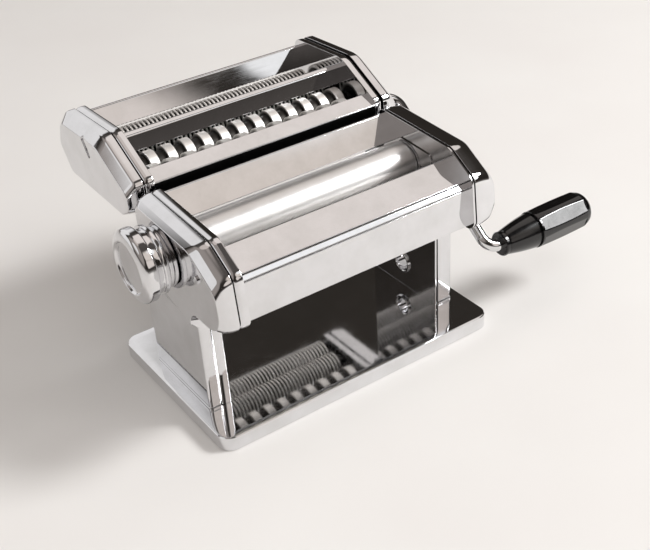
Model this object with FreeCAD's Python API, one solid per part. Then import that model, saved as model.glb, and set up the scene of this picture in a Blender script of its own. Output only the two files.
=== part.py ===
import FreeCAD, Part
import math
import os

# Hand cranked pasta machine with a cutting attachment, in millimetres.
# X runs along the rollers towards the crank, Y towards the back, Z up.
# The origin is the middle of the base plate's underside.

V = FreeCAD.Vector

# Base plate
BASE_WIDTH = 205.0
BASE_DEPTH = 131.0
BASE_HEIGHT = 10.0
BASE_SHEET = 1.2
BASE_CORNER = 9.0
BASE_EDGE = 1.5

# Side panels, their outline in Y and Z
INNER_FACE = 80.0
INNER_PANEL_WIDTH = 6.0
OUTER_PANEL_WIDTH = 12.0
LEG_PANEL_WIDTH = 8.0
PANEL_WALL = 1.6
PANEL_BEVEL = 4.0
LEG_BEVEL = 1.0
LEG_FRONT = -35.7
LEG_BACK = 31.5
HEAD_BACK = 21.3
HEAD_STEP_TOP = 112.0
HEAD_STEP_LOW = 104.0
HEAD_CHIN_Y = -73.8
HEAD_CHIN_Z = 88.5
HEAD_LOW_Z = 56.0
HEAD_BROW_Y = -70.3
HEAD_BROW_Z = 118.4
HEAD_PEAK_Y = -48.7
HEAD_PEAK_Z = 131.5
HEAD_TOP_Z = 134.7
THROAT_RADIUS = 26.0
CHIN_RADIUS = 6.5
BROW_RADIUS = 9.0
PEAK_RADIUS = 12.0
CORNER_RADIUS = 5.5

# Deck sheets
DECK_SHEET = 1.2
DECK_EDGE_Y = -63.7
DECK_EDGE_Z = 114.0
DECK_REAR_Y = -41.8
DECK_REAR_Z = 121.9
DECK_LIP = 7.0
APRON_Y = -66.0
APRON_TOP = 111.4
APRON_BOTTOM = 84.6
RIDGE_Y = 19.7
RIDGE_Z = 134.2
REAR_DECK_Y = 6.4
REAR_DECK_Z = 116.5
REAR_SKIRT = 24.0

# Smooth rollers
ROLLER_RADIUS = 14.0
ROLLER_HALF_LENGTH = 77.5
ROLLER_Y = -6.4
ROLLER_Z = 106.8
ROLLER_DISTANCE = 32.6
ROLLER_TILT = 12.0
ROLLER_TRAVEL = 4.2
COLLAR_RADIUS = 12.6
COLLAR_LENGTH = 2.2
JOURNAL_RADIUS = 6.0
REAR_JOURNAL_RADIUS = 5.0
JOURNAL_CLEARANCE = 0.05
BUSH_WALL = 2.0
BUSH_FLANGE = 1.0

# Bearing blocks of the rear roller
BLOCK_LENGTH = 15.0
BLOCK_HEIGHT = 13.0
BLOCK_FLANGE = 2.0
SLOT_CLEARANCE = 0.3

# Gears of the smooth rollers
ROLLER_GEAR_TEETH = 10
ROLLER_GEAR_PITCH = 14.2
ROLLER_GEAR_TIP = 16.6
ROLLER_GEAR_ROOT = 11.2
ROLLER_GEAR_WIDTH = 7.0
ROLLER_GEAR_START = 85.5

# Knob and adjuster
KNOB_RADIUS = 22.5
KNOB_RIM = 9.5
KNOB_WAIST_RADIUS = 19.3
KNOB_WAIST = 4.0
KNOB_RING_RADIUS = 21.0
KNOB_RING = 3.2
KNOB_DISH_RADIUS = 15.0
KNOB_DISH_DEPTH = 1.4
KNOB_GAP = 0.6
KNOB_EDGE = 1.0
INDEX_RADIUS = 18.5
INDEX_HEIGHT = 2.7
SPINDLE_RADIUS = 6.0
CAM_RADIUS = 11.0
CAM_WIDTH = 3.0
CAM_OFFSET = 2.0

# Clamp sleeve in the right leg
CLAMP_Y = -1.0
CLAMP_Z = 28.0
CLAMP_BORE = 6.0
CLAMP_WALL = 1.0
CLAMP_RIM = 7.8
CLAMP_RIM_HEIGHT = 1.2

# Bars, screws and scrapers
SUPPORT_Y = 25.3
SUPPORT_Z = 99.0
SUPPORT_RADIUS = 3.0
TIE_Y = -58.0
TIE_Z = 95.0
BAR_HEAD_RADIUS = 4.4
BAR_HEAD_HEIGHT = 1.8
SCREW_RADIUS = 2.0
SCREW_HEAD_RADIUS = 4.0
SCREW_HEAD_HEIGHT = 2.4
SCREW_INSET = 12.0
SCRAPER_SHEET = 1.0
SCRAPER_REACH = 11.0
SCRAPER_GAP = 0.3
STUD_Y = -51.0
STUD_Z = 113.5
STUD_RADIUS = 2.6
STUD_HEIGHT = 1.0

# Cutting attachment, its outline in Y and Z
CAP_FRONT = 24.5
CAP_FRONT_TOP = 137.6
CAP_FRONT_LOW = 121.0
CAP_BEND_Y = 60.0
CAP_BEND_Z = 156.3
CAP_BACK_Y = 114.0
CAP_BACK_Z = 154.1
CAP_TAIL_Y = 122.0
CAP_TAIL_Z = 134.0
CAP_HEEL_Y = 108.0
CAP_HEEL_Z = 115.0
HEEL_RADIUS = 7.0
CAP_BOTTOM_Z = 114.2
CAP_TOE_Y = 36.0
SLOT_MARK_LENGTH = 14.0
SLOT_MARK_WIDTH = 4.0
SLOT_MARK_DEPTH = 0.8
SLOT_MARK_Y = 76.2
SLOT_MARK_Z = 144.4
SLOT_MARK_ANGLE = 57.0

# Cutter rollers
CUTTER_RIDGE = 10.2
CUTTER_GROOVE = 7.8
CUTTER_CLEARANCE = 0.25
CUTTER_Z = 127.0
CUTTER_LENGTH = 150.0
CUTTER_JOURNAL = 4.0
WIDE_Y = 41.0
WIDE_COUNT = 12
WIDE_SIDE_CLEARANCE = 0.15
FINE_Y = 82.5
FINE_COUNT = 50
FINE_SIDE_CLEARANCE = 0.2
CUTTER_GEAR_TEETH = 15
CUTTER_GEAR_WIDTH = 5.0
CUTTER_GEAR_START = 84.0
TOOTH_BACKLASH = 0.35

# Guards of the attachment
GUARD_SHEET = 1.0
RAIL_RADIUS = 2.6
GUARD_GAP = 1.2
DIVIDER_PEAK = 148.5
DIVIDER_HALF = 5.2
DIVIDER_LOW = 136.5
BACK_GUARD_LOW = 136.8
HOOK_SHEET = 3.0
HOOK_SLOT_CLEARANCE = 0.3
HOOK_BOTTOM = 94.5
HOOK_BACK = 40.0
HOOK_FRONT = 20.2

# Crank
CRANK_RADIUS = 4.0
CRANK_PLANE = 112.5
CRANK_TOP_BEND = 9.0
CRANK_LOW_BEND = 13.0
CRANK_END_Y = -55.5
CRANK_END_Z = 52.0
SQUARE_TIP = 7.0
SQUARE_CLEARANCE = 0.05
SQUARE_START = 84.0
SQUARE_END = 95.6
SOCKET_RIM = 95.4
SOCKET_FREE = 0.6

# Grip
GRIP_START = 127.0
GRIP_LENGTH = 76.0
GRIP_COLLAR_RADIUS = 6.4
GRIP_NECK_RADIUS = 8.4
GRIP_NECK_LENGTH = 27.0
GRIP_BARREL_RADIUS = 10.8
GRIP_GROOVE = 0.7
GRIP_CLEARANCE = 0.08
GRIP_FLAT = 0.8
GRIP_FLAT_COUNT = 6
GRIP_PLUG_RADIUS = 6.0
GRIP_PLUG_LENGTH = 5.0

# Values that follow from the sizes above
SEAM = INNER_FACE + INNER_PANEL_WIDTH
OUTER_FACE = SEAM + OUTER_PANEL_WIDTH
LEG_FACE = SEAM + LEG_PANEL_WIDTH
INNER_BEVEL = PANEL_BEVEL - PANEL_WALL * (2.0 - math.sqrt(2.0))
TILT = math.radians(ROLLER_TILT)
FRONT_ROLLER_Y = ROLLER_Y - ROLLER_DISTANCE * math.cos(TILT)
FRONT_ROLLER_Z = ROLLER_Z - ROLLER_DISTANCE * math.sin(TILT)
CUTTER_DISTANCE = CUTTER_RIDGE + CUTTER_GROOVE + CUTTER_CLEARANCE
FAR = 400.0


def corner_wire(corners):
    """Closed outline in the YZ plane through corners (y, z, radius), round where the radius is set."""
    count = len(corners)
    starts = []
    arcs = []
    for i in range(count):
        before = V(0, corners[i - 1][0], corners[i - 1][1])
        here = V(0, corners[i][0], corners[i][1])
        after_corner = corners[(i + 1) % count]
        after = V(0, after_corner[0], after_corner[1])
        radius = corners[i][2]
        to_before = (before - here).normalize()
        to_after = (after - here).normalize()
        if radius <= 0:
            starts.append((here, here))
            arcs.append(None)
            continue
        half = to_before.getAngle(to_after) / 2.0
        reach = radius / math.tan(half)
        bisector = (to_before + to_after).normalize()
        middle = here + bisector * (radius / math.sin(half) - radius)
        enter = here + to_before * reach
        leave = here + to_after * reach
        starts.append((enter, leave))
        arcs.append(Part.Arc(enter, middle, leave))
    edges = []
    for i in range(count):
        if arcs[i] is not None:
            edges.append(arcs[i].toShape())
        line_start = starts[i][1]
        line_end = starts[(i + 1) % count][0]
        if line_start.distanceToPoint(line_end) > 1e-6:
            edges.append(Part.makeLine(line_start, line_end))
    return Part.Wire(edges)


def prism(wire, x0, x1):
    """Solid of an outline in the YZ plane between two X places."""
    solid = Part.Face(wire).extrude(V(x1 - x0, 0, 0))
    solid.translate(V(x0, 0, 0))
    return solid


def bevelled_prism(wire, x0, x1, bevel):
    """Prism whose edges at x1 are bevelled."""
    solid = prism(wire, x0, x1)
    rim = [e for e in solid.Edges if abs(e.BoundBox.XMin - x1) < 1e-6 and abs(e.BoundBox.XMax - x1) < 1e-6]
    return solid.makeChamfer(bevel, rim)


def inset(wire, wall):
    """The same outline, moved inwards by a wall."""
    return wire.makeOffset2D(-wall)


def rod(x0, x1, y, z, radius):
    """Cylinder along X."""
    return Part.makeCylinder(radius, x1 - x0, V(x0, y, z), V(1, 0, 0))


def block(x0, x1, y0, y1, z0, z1):
    """Box between two corners."""
    return Part.makeBox(x1 - x0, y1 - y0, z1 - z0, V(x0, y0, z0))


def tilted_block(x0, x1, y, z, length, height, angle):
    """Box centred at y, z and turned about X by an angle in degrees."""
    box = Part.makeBox(x1 - x0, length, height, V(x0, y - length / 2.0, z - height / 2.0))
    box.rotate(V(0, y, z), V(1, 0, 0), angle)
    return box


def mirrored(shape):
    """The same shape on the other side of the machine."""
    return shape.mirror(V(0, 0, 0), V(1, 0, 0))


def sheet(points, thickness, x0, x1):
    """Folded sheet along X whose left-hand side, seen along the points, is thickened."""
    shifted = []
    for i, (y, z) in enumerate(points):
        normals = []
        for a, b in ((i - 1, i), (i, i + 1)):
            if a < 0 or b >= len(points):
                continue
            dy = points[b][0] - points[a][0]
            dz = points[b][1] - points[a][1]
            length = math.hypot(dy, dz)
            normals.append((-dz / length, dy / length))
        ny = sum(n[0] for n in normals) / len(normals)
        nz = sum(n[1] for n in normals) / len(normals)
        scale = thickness / (ny * ny + nz * nz)
        shifted.append((y + ny * scale, z + nz * scale))
    outline = [(y, z, 0) for y, z in points] + [(y, z, 0) for y, z in reversed(shifted)]
    return prism(corner_wire(outline), x0, x1)


def turned(profile, y, z):
    """Solid of revolution about an axis along X through y, z, from (x, radius) points."""
    points = [V(x, y + r, z) for x, r in profile]
    points.append(points[0])
    return Part.Face(Part.makePolygon(points)).revolve(V(0, y, z), V(1, 0, 0), 360)


def gear(teeth, pitch, tip, root, x0, width, y, z, phase):
    """Spur gear along X; phase is the direction of one tooth in degrees, from +Y towards +Z."""
    half_pitch = math.pi / (2.0 * teeth) - TOOTH_BACKLASH / (2.0 * pitch)
    half_root = half_pitch * 1.45
    half_tip = half_pitch * 0.45
    steps = [(root, -half_root), (pitch, -half_pitch), (tip, -half_tip),
             (tip, half_tip), (pitch, half_pitch), (root, half_root)]
    points = []
    for tooth in range(teeth):
        middle = math.radians(phase) + 2.0 * math.pi * tooth / teeth
        for radius, turn in steps:
            angle = middle + turn
            points.append(V(0, y + radius * math.cos(angle), z + radius * math.sin(angle)))
    points.append(points[0])
    return prism(Part.makePolygon(points), x0, x0 + width)


def head_outline():
    """Outline shared by the head's and legs' side panels."""
    return corner_wire([
        (LEG_FRONT, BASE_HEIGHT, 0),
        (LEG_FRONT, HEAD_CHIN_Z, THROAT_RADIUS),
        (HEAD_CHIN_Y, HEAD_CHIN_Z, CHIN_RADIUS),
        (HEAD_BROW_Y, HEAD_BROW_Z, BROW_RADIUS),
        (HEAD_PEAK_Y, HEAD_PEAK_Z, PEAK_RADIUS),
        (HEAD_BACK, HEAD_TOP_Z, CORNER_RADIUS),
        (HEAD_BACK, HEAD_STEP_TOP, 0),
        (LEG_BACK, HEAD_STEP_LOW, 0),
        (LEG_BACK, BASE_HEIGHT, 0),
    ])


def cap_outline():
    """Outline of the cutting attachment's end caps."""
    return corner_wire([
        (CAP_FRONT, CAP_FRONT_LOW, CORNER_RADIUS),
        (CAP_FRONT, CAP_FRONT_TOP, CORNER_RADIUS),
        (CAP_BEND_Y, CAP_BEND_Z, PEAK_RADIUS),
        (CAP_BACK_Y, CAP_BACK_Z, CORNER_RADIUS),
        (CAP_TAIL_Y, CAP_TAIL_Z, CORNER_RADIUS),
        (CAP_HEEL_Y, CAP_HEEL_Z, HEEL_RADIUS),
        (CAP_TOE_Y, CAP_BOTTOM_Z, CORNER_RADIUS),
    ])


def base_plate():
    """Pressed plate, open below, with rounded corners and edges."""
    half_width = BASE_WIDTH / 2.0
    half_depth = BASE_DEPTH / 2.0
    plate = block(-half_width, half_width, -half_depth, half_depth, 0, BASE_HEIGHT)
    uprights = [e for e in plate.Edges if abs(e.BoundBox.ZLength - BASE_HEIGHT) < 1e-6]
    plate = plate.makeFillet(BASE_CORNER, uprights)
    top_rim = [e for e in plate.Edges if abs(e.BoundBox.ZMin - BASE_HEIGHT) < 1e-6]
    plate = plate.makeFillet(BASE_EDGE, top_rim)
    hollow = block(-half_width + BASE_SHEET, half_width - BASE_SHEET, -half_depth + BASE_SHEET,
                   half_depth - BASE_SHEET, 0, BASE_HEIGHT - BASE_SHEET)
    inner_uprights = [e for e in hollow.Edges if abs(e.BoundBox.ZLength - BASE_HEIGHT + BASE_SHEET) < 1e-6]
    hollow = hollow.makeFillet(BASE_CORNER - BASE_SHEET, inner_uprights)
    plate = plate.cut(hollow)
    for x, y in screw_places():
        plate = plate.cut(Part.makeCylinder(SCREW_RADIUS, BASE_HEIGHT, V(x, y, 0)))
    return plate


def screw_places():
    """The four screws that hold the legs on the base plate."""
    x = SEAM - INNER_PANEL_WIDTH / 2.0 + PANEL_WALL / 2.0
    return [(side * x, y) for side in (-1, 1) for y in (LEG_FRONT + SCREW_INSET, LEG_BACK - SCREW_INSET)]


def base_screws():
    """Screws that come up through the base plate into the inner panels' feet."""
    screws = []
    top = BASE_HEIGHT - BASE_SHEET
    for x, y in screw_places():
        head = Part.makeCylinder(SCREW_HEAD_RADIUS, SCREW_HEAD_HEIGHT, V(x, y, top - SCREW_HEAD_HEIGHT))
        shank = Part.makeCylinder(SCREW_RADIUS, BASE_SHEET + PANEL_WALL, V(x, y, top))
        screws.append(head.fuse(shank))
    return Part.makeCompound(screws)


def tray(outline, wall_x, open_x, wall):
    """Panel whose flat wall is at wall_x and whose rim runs to open_x."""
    direction = 1.0 if open_x > wall_x else -1.0
    body = prism(outline, min(wall_x, open_x), max(wall_x, open_x))
    inner_start = wall_x + direction * wall
    return body.cut(prism(inset(outline, wall), min(inner_start, open_x), max(inner_start, open_x)))


def head_part():
    """The stretch of the side outline that bulges out as the head."""
    return corner_wire([
        (LEG_FRONT, HEAD_LOW_Z, 0),
        (LEG_FRONT, HEAD_CHIN_Z, THROAT_RADIUS),
        (HEAD_CHIN_Y, HEAD_CHIN_Z, CHIN_RADIUS),
        (HEAD_BROW_Y, HEAD_BROW_Z, BROW_RADIUS),
        (HEAD_PEAK_Y, HEAD_PEAK_Z, PEAK_RADIUS),
        (HEAD_BACK, HEAD_TOP_Z, CORNER_RADIUS),
        (HEAD_BACK, HEAD_STEP_TOP, 0),
        (LEG_BACK, HEAD_STEP_LOW, 0),
        (LEG_BACK, HEAD_LOW_Z, 0),
    ])


def outer_panel():
    """Right outer panel: head and leg in one pressing, without its holes."""
    head = bevelled_prism(head_part(), SEAM, OUTER_FACE, PANEL_BEVEL)
    leg = bevelled_prism(head_outline(), SEAM, LEG_FACE, LEG_BEVEL)
    head_hollow = bevelled_prism(inset(head_part(), PANEL_WALL), SEAM, OUTER_FACE - PANEL_WALL, INNER_BEVEL)
    leg_hollow = prism(inset(head_outline(), PANEL_WALL), SEAM, LEG_FACE - PANEL_WALL)
    return head.fuse(leg).cut(head_hollow).cut(leg_hollow)


def roller_slot(x0, x1):
    """Slot in an inner panel in which a bearing block slides."""
    y = ROLLER_Y - ROLLER_TRAVEL / 2.0 * math.cos(TILT)
    z = ROLLER_Z - ROLLER_TRAVEL / 2.0 * math.sin(TILT)
    length = BLOCK_LENGTH + ROLLER_TRAVEL + 2.0 * SLOT_CLEARANCE
    return tilted_block(x0, x1, y, z, length, BLOCK_HEIGHT + 2.0 * SLOT_CLEARANCE, ROLLER_TILT)


def inner_panel():
    """Right inner panel without the clamp hole."""
    panel = tray(head_outline(), INNER_FACE, SEAM, PANEL_WALL)
    through = INNER_FACE + PANEL_WALL + 1.0
    panel = panel.cut(roller_slot(INNER_FACE - 1.0, through))
    bush_radius = JOURNAL_RADIUS + JOURNAL_CLEARANCE + BUSH_WALL
    panel = panel.cut(rod(INNER_FACE - 1.0, through, FRONT_ROLLER_Y, FRONT_ROLLER_Z, bush_radius))
    panel = panel.cut(rod(INNER_FACE - 1.0, through, SUPPORT_Y, SUPPORT_Z, SUPPORT_RADIUS))
    panel = panel.cut(rod(INNER_FACE - 1.0, through, TIE_Y, TIE_Z, SUPPORT_RADIUS))
    for x, y in screw_places():
        if x > 0:
            panel = panel.cut(Part.makeCylinder(SCREW_RADIUS, PANEL_WALL + 1.0, V(x, y, BASE_HEIGHT - 0.5)))
    return panel


def cross_bar(y, z):
    """Bar between the inner panels with a riveted head behind each of them."""
    end = INNER_FACE + PANEL_WALL
    bar = rod(-end, end, y, z, SUPPORT_RADIUS)
    head = rod(end, end + BAR_HEAD_HEIGHT, y, z, BAR_HEAD_RADIUS)
    return bar.fuse(head).fuse(mirrored(head))


def bush(y, z, inner, x_face):
    """Flanged bush pressed into a right-hand plate."""
    outer = inner + BUSH_WALL
    body = rod(x_face, x_face + PANEL_WALL, y, z, outer)
    flange = rod(x_face + PANEL_WALL, x_face + PANEL_WALL + BUSH_FLANGE, y, z, outer + BUSH_FLANGE)
    hole = rod(x_face - 1.0, x_face + PANEL_WALL + BUSH_FLANGE + 1.0, y, z, inner)
    return body.fuse(flange).cut(hole)


def bearing_block():
    """Right bearing block of the rear roller: it slides in the panel's slot on a flange."""
    body = tilted_block(INNER_FACE, INNER_FACE + PANEL_WALL + SLOT_CLEARANCE, ROLLER_Y, ROLLER_Z,
                        BLOCK_LENGTH, BLOCK_HEIGHT, ROLLER_TILT)
    flange_start = INNER_FACE + PANEL_WALL + SLOT_CLEARANCE
    flange = tilted_block(flange_start, flange_start + BLOCK_FLANGE, ROLLER_Y, ROLLER_Z,
                          BLOCK_LENGTH, BLOCK_HEIGHT + 2.0 * BLOCK_FLANGE, ROLLER_TILT)
    hole = rod(INNER_FACE - 1.0, FAR, ROLLER_Y, ROLLER_Z, REAR_JOURNAL_RADIUS + JOURNAL_CLEARANCE)
    return body.fuse(flange).cut(hole)


def square_socket(y, z):
    """Square hole that takes the crank's tip."""
    side = SQUARE_TIP + 2.0 * SQUARE_CLEARANCE
    return block(SQUARE_START - 1.0, FAR, y - side / 2.0, y + side / 2.0, z - side / 2.0, z + side / 2.0)


def smooth_roller(y, z, journal, right_end):
    """Smooth roller with end collars and journals."""
    left_end = INNER_FACE + PANEL_WALL + 2.0
    body = rod(-ROLLER_HALF_LENGTH, ROLLER_HALF_LENGTH, y, z, ROLLER_RADIUS)
    collar_end = ROLLER_HALF_LENGTH + COLLAR_LENGTH
    collars = rod(-collar_end, collar_end, y, z, COLLAR_RADIUS)
    shaft = rod(-left_end, right_end, y, z, journal)
    return body.fuse(collars).fuse(shaft)


def knob():
    """Knob with rim, waist, second ring and a dished face."""
    base = -(OUTER_FACE + INDEX_HEIGHT + KNOB_GAP)
    ring = base - KNOB_RING
    waist = ring - KNOB_WAIST
    face = waist - KNOB_RIM
    profile = [
        (base, KNOB_RING_RADIUS), (ring, KNOB_RING_RADIUS),
        (ring, KNOB_WAIST_RADIUS), (waist, KNOB_WAIST_RADIUS), (waist, KNOB_RADIUS - KNOB_EDGE),
        (waist - KNOB_EDGE, KNOB_RADIUS), (face + KNOB_EDGE, KNOB_RADIUS), (face, KNOB_RADIUS - KNOB_EDGE),
        (face, KNOB_DISH_RADIUS + KNOB_DISH_DEPTH), (face + KNOB_DISH_DEPTH, KNOB_DISH_RADIUS),
        (face + KNOB_DISH_DEPTH, 0), (waist + JOURNAL_CLEARANCE, 0),
        (waist + JOURNAL_CLEARANCE, SPINDLE_RADIUS + JOURNAL_CLEARANCE),
        (base, SPINDLE_RADIUS + JOURNAL_CLEARANCE),
    ]
    return turned(profile, ROLLER_Y, ROLLER_Z)


def adjuster_spindle():
    """Spindle that the knob turns, with the cam that moves the bearing blocks."""
    cam_start = -(OUTER_FACE - PANEL_WALL - SLOT_CLEARANCE)
    tip = -(OUTER_FACE + INDEX_HEIGHT + KNOB_GAP + KNOB_RING + KNOB_WAIST - SLOT_CLEARANCE)
    shaft = rod(tip, cam_start, ROLLER_Y, ROLLER_Z, SPINDLE_RADIUS)
    cam = rod(cam_start, cam_start + CAM_WIDTH, ROLLER_Y + CAM_OFFSET, ROLLER_Z, CAM_RADIUS)
    return shaft.fuse(cam)


def ridged_roller(y, z, count, offset, side_clearance, drive):
    """Cutter roller with square ridges, which interlock with those of its partner."""
    pitch = CUTTER_LENGTH / count
    ridge = pitch / 2.0 - side_clearance
    half = CUTTER_LENGTH / 2.0
    profile = [(-half, 0), (-half, CUTTER_GROOVE)]
    for i in range(count):
        middle = -half + pitch * (i + 0.25 + 0.5 * offset)
        start = middle - ridge / 2.0
        stop = middle + ridge / 2.0
        profile += [(start, CUTTER_GROOVE), (start, CUTTER_RIDGE), (stop, CUTTER_RIDGE), (stop, CUTTER_GROOVE)]
    profile += [(half, CUTTER_GROOVE), (half, 0)]
    body = turned(profile, y, z)
    left_end = INNER_FACE + PANEL_WALL + BUSH_FLANGE
    right_end = SOCKET_RIM if drive else CUTTER_GEAR_START + CUTTER_GEAR_WIDTH
    right_radius = JOURNAL_RADIUS if drive else CUTTER_JOURNAL
    shaft = rod(-left_end, -half, y, z, CUTTER_JOURNAL).fuse(rod(half, right_end, y, z, right_radius))
    body = body.fuse(shaft)
    return body.cut(square_socket(y, z)) if drive else body


def cutter_gear(y, z, radius, phase):
    """Gear on the right journal of a cutter roller."""
    pitch = CUTTER_DISTANCE / 2.0
    module = CUTTER_DISTANCE / CUTTER_GEAR_TEETH
    wheel = gear(CUTTER_GEAR_TEETH, pitch, pitch + 0.8 * module, pitch - 1.1 * module,
                 CUTTER_GEAR_START, CUTTER_GEAR_WIDTH, y, z, phase)
    return wheel.cut(rod(0, FAR, y, z, radius))


def cutters():
    """The four cutter rollers and their gears."""
    made = {}
    sets = (("wide", WIDE_Y, WIDE_COUNT, WIDE_SIDE_CLEARANCE), ("fine", FINE_Y, FINE_COUNT, FINE_SIDE_CLEARANCE))
    half_tooth = 180.0 / CUTTER_GEAR_TEETH
    for name, y, count, side in sets:
        rear = y + CUTTER_DISTANCE
        made[name + "_cutter_front"] = ridged_roller(y, CUTTER_Z, count, 0, side, True)
        made[name + "_cutter_rear"] = ridged_roller(rear, CUTTER_Z, count, 1, side, False)
        made[name + "_gear_front"] = cutter_gear(y, CUTTER_Z, JOURNAL_RADIUS, 0)
        made[name + "_gear_rear"] = cutter_gear(rear, CUTTER_Z, CUTTER_JOURNAL, 180.0 + half_tooth)
    return made


def cutter_places():
    """Y and right journal radius of each cutter roller."""
    places = []
    for y in (WIDE_Y, FINE_Y):
        places.append((y, JOURNAL_RADIUS))
        places.append((y + CUTTER_DISTANCE, CUTTER_JOURNAL))
    return places


def inner_caps():
    """Left and right inner caps of the attachment, with bush holes."""
    right = tray(cap_outline(), INNER_FACE, SEAM, PANEL_WALL)
    left = mirrored(right)
    for y, radius in cutter_places():
        hole = radius + JOURNAL_CLEARANCE + BUSH_WALL
        right = right.cut(rod(0, INNER_FACE + PANEL_WALL + 1.0, y, CUTTER_Z, hole))
        left_hole = CUTTER_JOURNAL + JOURNAL_CLEARANCE + BUSH_WALL
        left = left.cut(rod(-INNER_FACE - PANEL_WALL - 1.0, 0, y, CUTTER_Z, left_hole))
    return left, right


def cutter_bushes():
    """Bushes of the cutter rollers in both inner caps."""
    bushes = []
    for y, radius in cutter_places():
        bushes.append(bush(y, CUTTER_Z, radius + JOURNAL_CLEARANCE, INNER_FACE))
        bushes.append(mirrored(bush(y, CUTTER_Z, CUTTER_JOURNAL + JOURNAL_CLEARANCE, INNER_FACE)))
    return Part.makeCompound(bushes)


def outer_caps():
    """Left and right outer caps of the attachment; the right one has the crank holes."""
    body = bevelled_prism(cap_outline(), SEAM, OUTER_FACE, PANEL_BEVEL)
    hollow = bevelled_prism(inset(cap_outline(), PANEL_WALL), SEAM, OUTER_FACE - PANEL_WALL, INNER_BEVEL)
    shell = body.cut(hollow)
    left = mirrored(shell)
    right = shell
    for y in (WIDE_Y, FINE_Y):
        right = right.cut(rod(OUTER_FACE - 2.0 * PANEL_WALL, FAR, y, CUTTER_Z, JOURNAL_RADIUS + SOCKET_FREE))
    return left.cut(slot_mark()), right


def slot_mark():
    """Shallow long pressing in the left cap's face."""
    run = SLOT_MARK_LENGTH - SLOT_MARK_WIDTH
    x0 = -OUTER_FACE - 1.0
    x1 = -OUTER_FACE + SLOT_MARK_DEPTH
    middle = tilted_block(x0, x1, SLOT_MARK_Y, SLOT_MARK_Z, run, SLOT_MARK_WIDTH, SLOT_MARK_ANGLE)
    shape = middle
    for side in (-0.5, 0.5):
        y = SLOT_MARK_Y + side * run * math.cos(math.radians(SLOT_MARK_ANGLE))
        z = SLOT_MARK_Z + side * run * math.sin(math.radians(SLOT_MARK_ANGLE))
        shape = shape.fuse(rod(x0, x1, y, z, SLOT_MARK_WIDTH / 2.0))
    return shape


def attachment_guards():
    """Front guard with its rolled rail, divider and back guard."""
    ends = (-INNER_FACE, INNER_FACE)
    rail_y = CAP_FRONT + RAIL_RADIUS
    rail_z = CAP_FRONT_TOP - RAIL_RADIUS
    lead_y = WIDE_Y - CUTTER_RIDGE / 2.0
    lead_z = CUTTER_Z + math.sqrt((CUTTER_RIDGE + GUARD_GAP) ** 2 - (CUTTER_RIDGE / 2.0) ** 2)
    lead = sheet([(rail_y, rail_z), (lead_y, lead_z)], GUARD_SHEET, *ends)
    skirt = sheet([(CAP_FRONT + GUARD_SHEET, CAP_FRONT_LOW), (CAP_FRONT + GUARD_SHEET, rail_z)],
                  GUARD_SHEET, *ends)
    front = lead.fuse(skirt).fuse(rod(ends[0], ends[1], rail_y, rail_z, RAIL_RADIUS)).removeSplitter()
    middle = (WIDE_Y + CUTTER_DISTANCE + FINE_Y) / 2.0
    divider = sheet([(middle + DIVIDER_HALF, DIVIDER_LOW), (middle, DIVIDER_PEAK),
                     (middle - DIVIDER_HALF, DIVIDER_LOW)], GUARD_SHEET, *ends)
    low_y = FINE_Y + CUTTER_DISTANCE + CUTTER_RIDGE / 2.0
    back = sheet([(CAP_TAIL_Y - PANEL_WALL, CAP_TAIL_Z), (CAP_BACK_Y - 0.5, CAP_BACK_Z - PANEL_WALL),
                  (low_y, BACK_GUARD_LOW)], GUARD_SHEET, *ends)
    return front, divider, back


def hook_plates():
    """Hooks that hang the attachment on the support bar; they lift straight up."""
    x0 = INNER_FACE - HOOK_SHEET
    x1 = INNER_FACE - SLOT_CLEARANCE
    low = corner_wire([
        (HOOK_FRONT, HOOK_BOTTOM, 1.0), (HOOK_FRONT, CAP_FRONT_LOW, 0), (HOOK_BACK, CAP_FRONT_LOW, 0),
        (SUPPORT_Y + 3.0 * SUPPORT_RADIUS, HOOK_BOTTOM + 12.0, 2.0),
        (SUPPORT_Y + 2.5 * SUPPORT_RADIUS, HOOK_BOTTOM, 1.0)])
    high = corner_wire([
        (CAP_FRONT + 2.0 * GUARD_SHEET, CAP_FRONT_LOW - 4.0, 0),
        (CAP_FRONT + 2.0 * GUARD_SHEET, CAP_FRONT_TOP - 3.0 * RAIL_RADIUS, 0),
        (CAP_FRONT + 4.0 * GUARD_SHEET, CAP_FRONT_TOP - 3.0 * RAIL_RADIUS, 0),
        (CAP_FRONT + 4.0 * GUARD_SHEET, CAP_FRONT_LOW - 4.0, 0)])
    plate = prism(low, x0, x1).fuse(prism(high, x0, INNER_FACE))
    gap = SUPPORT_RADIUS + HOOK_SLOT_CLEARANCE
    slot = block(x0 - 1.0, FAR, SUPPORT_Y - gap, SUPPORT_Y + gap, 0, SUPPORT_Z)
    plate = plate.cut(slot).cut(rod(x0 - 1.0, FAR, SUPPORT_Y, SUPPORT_Z, gap))
    return Part.makeCompound([plate, mirrored(plate)])


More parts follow.
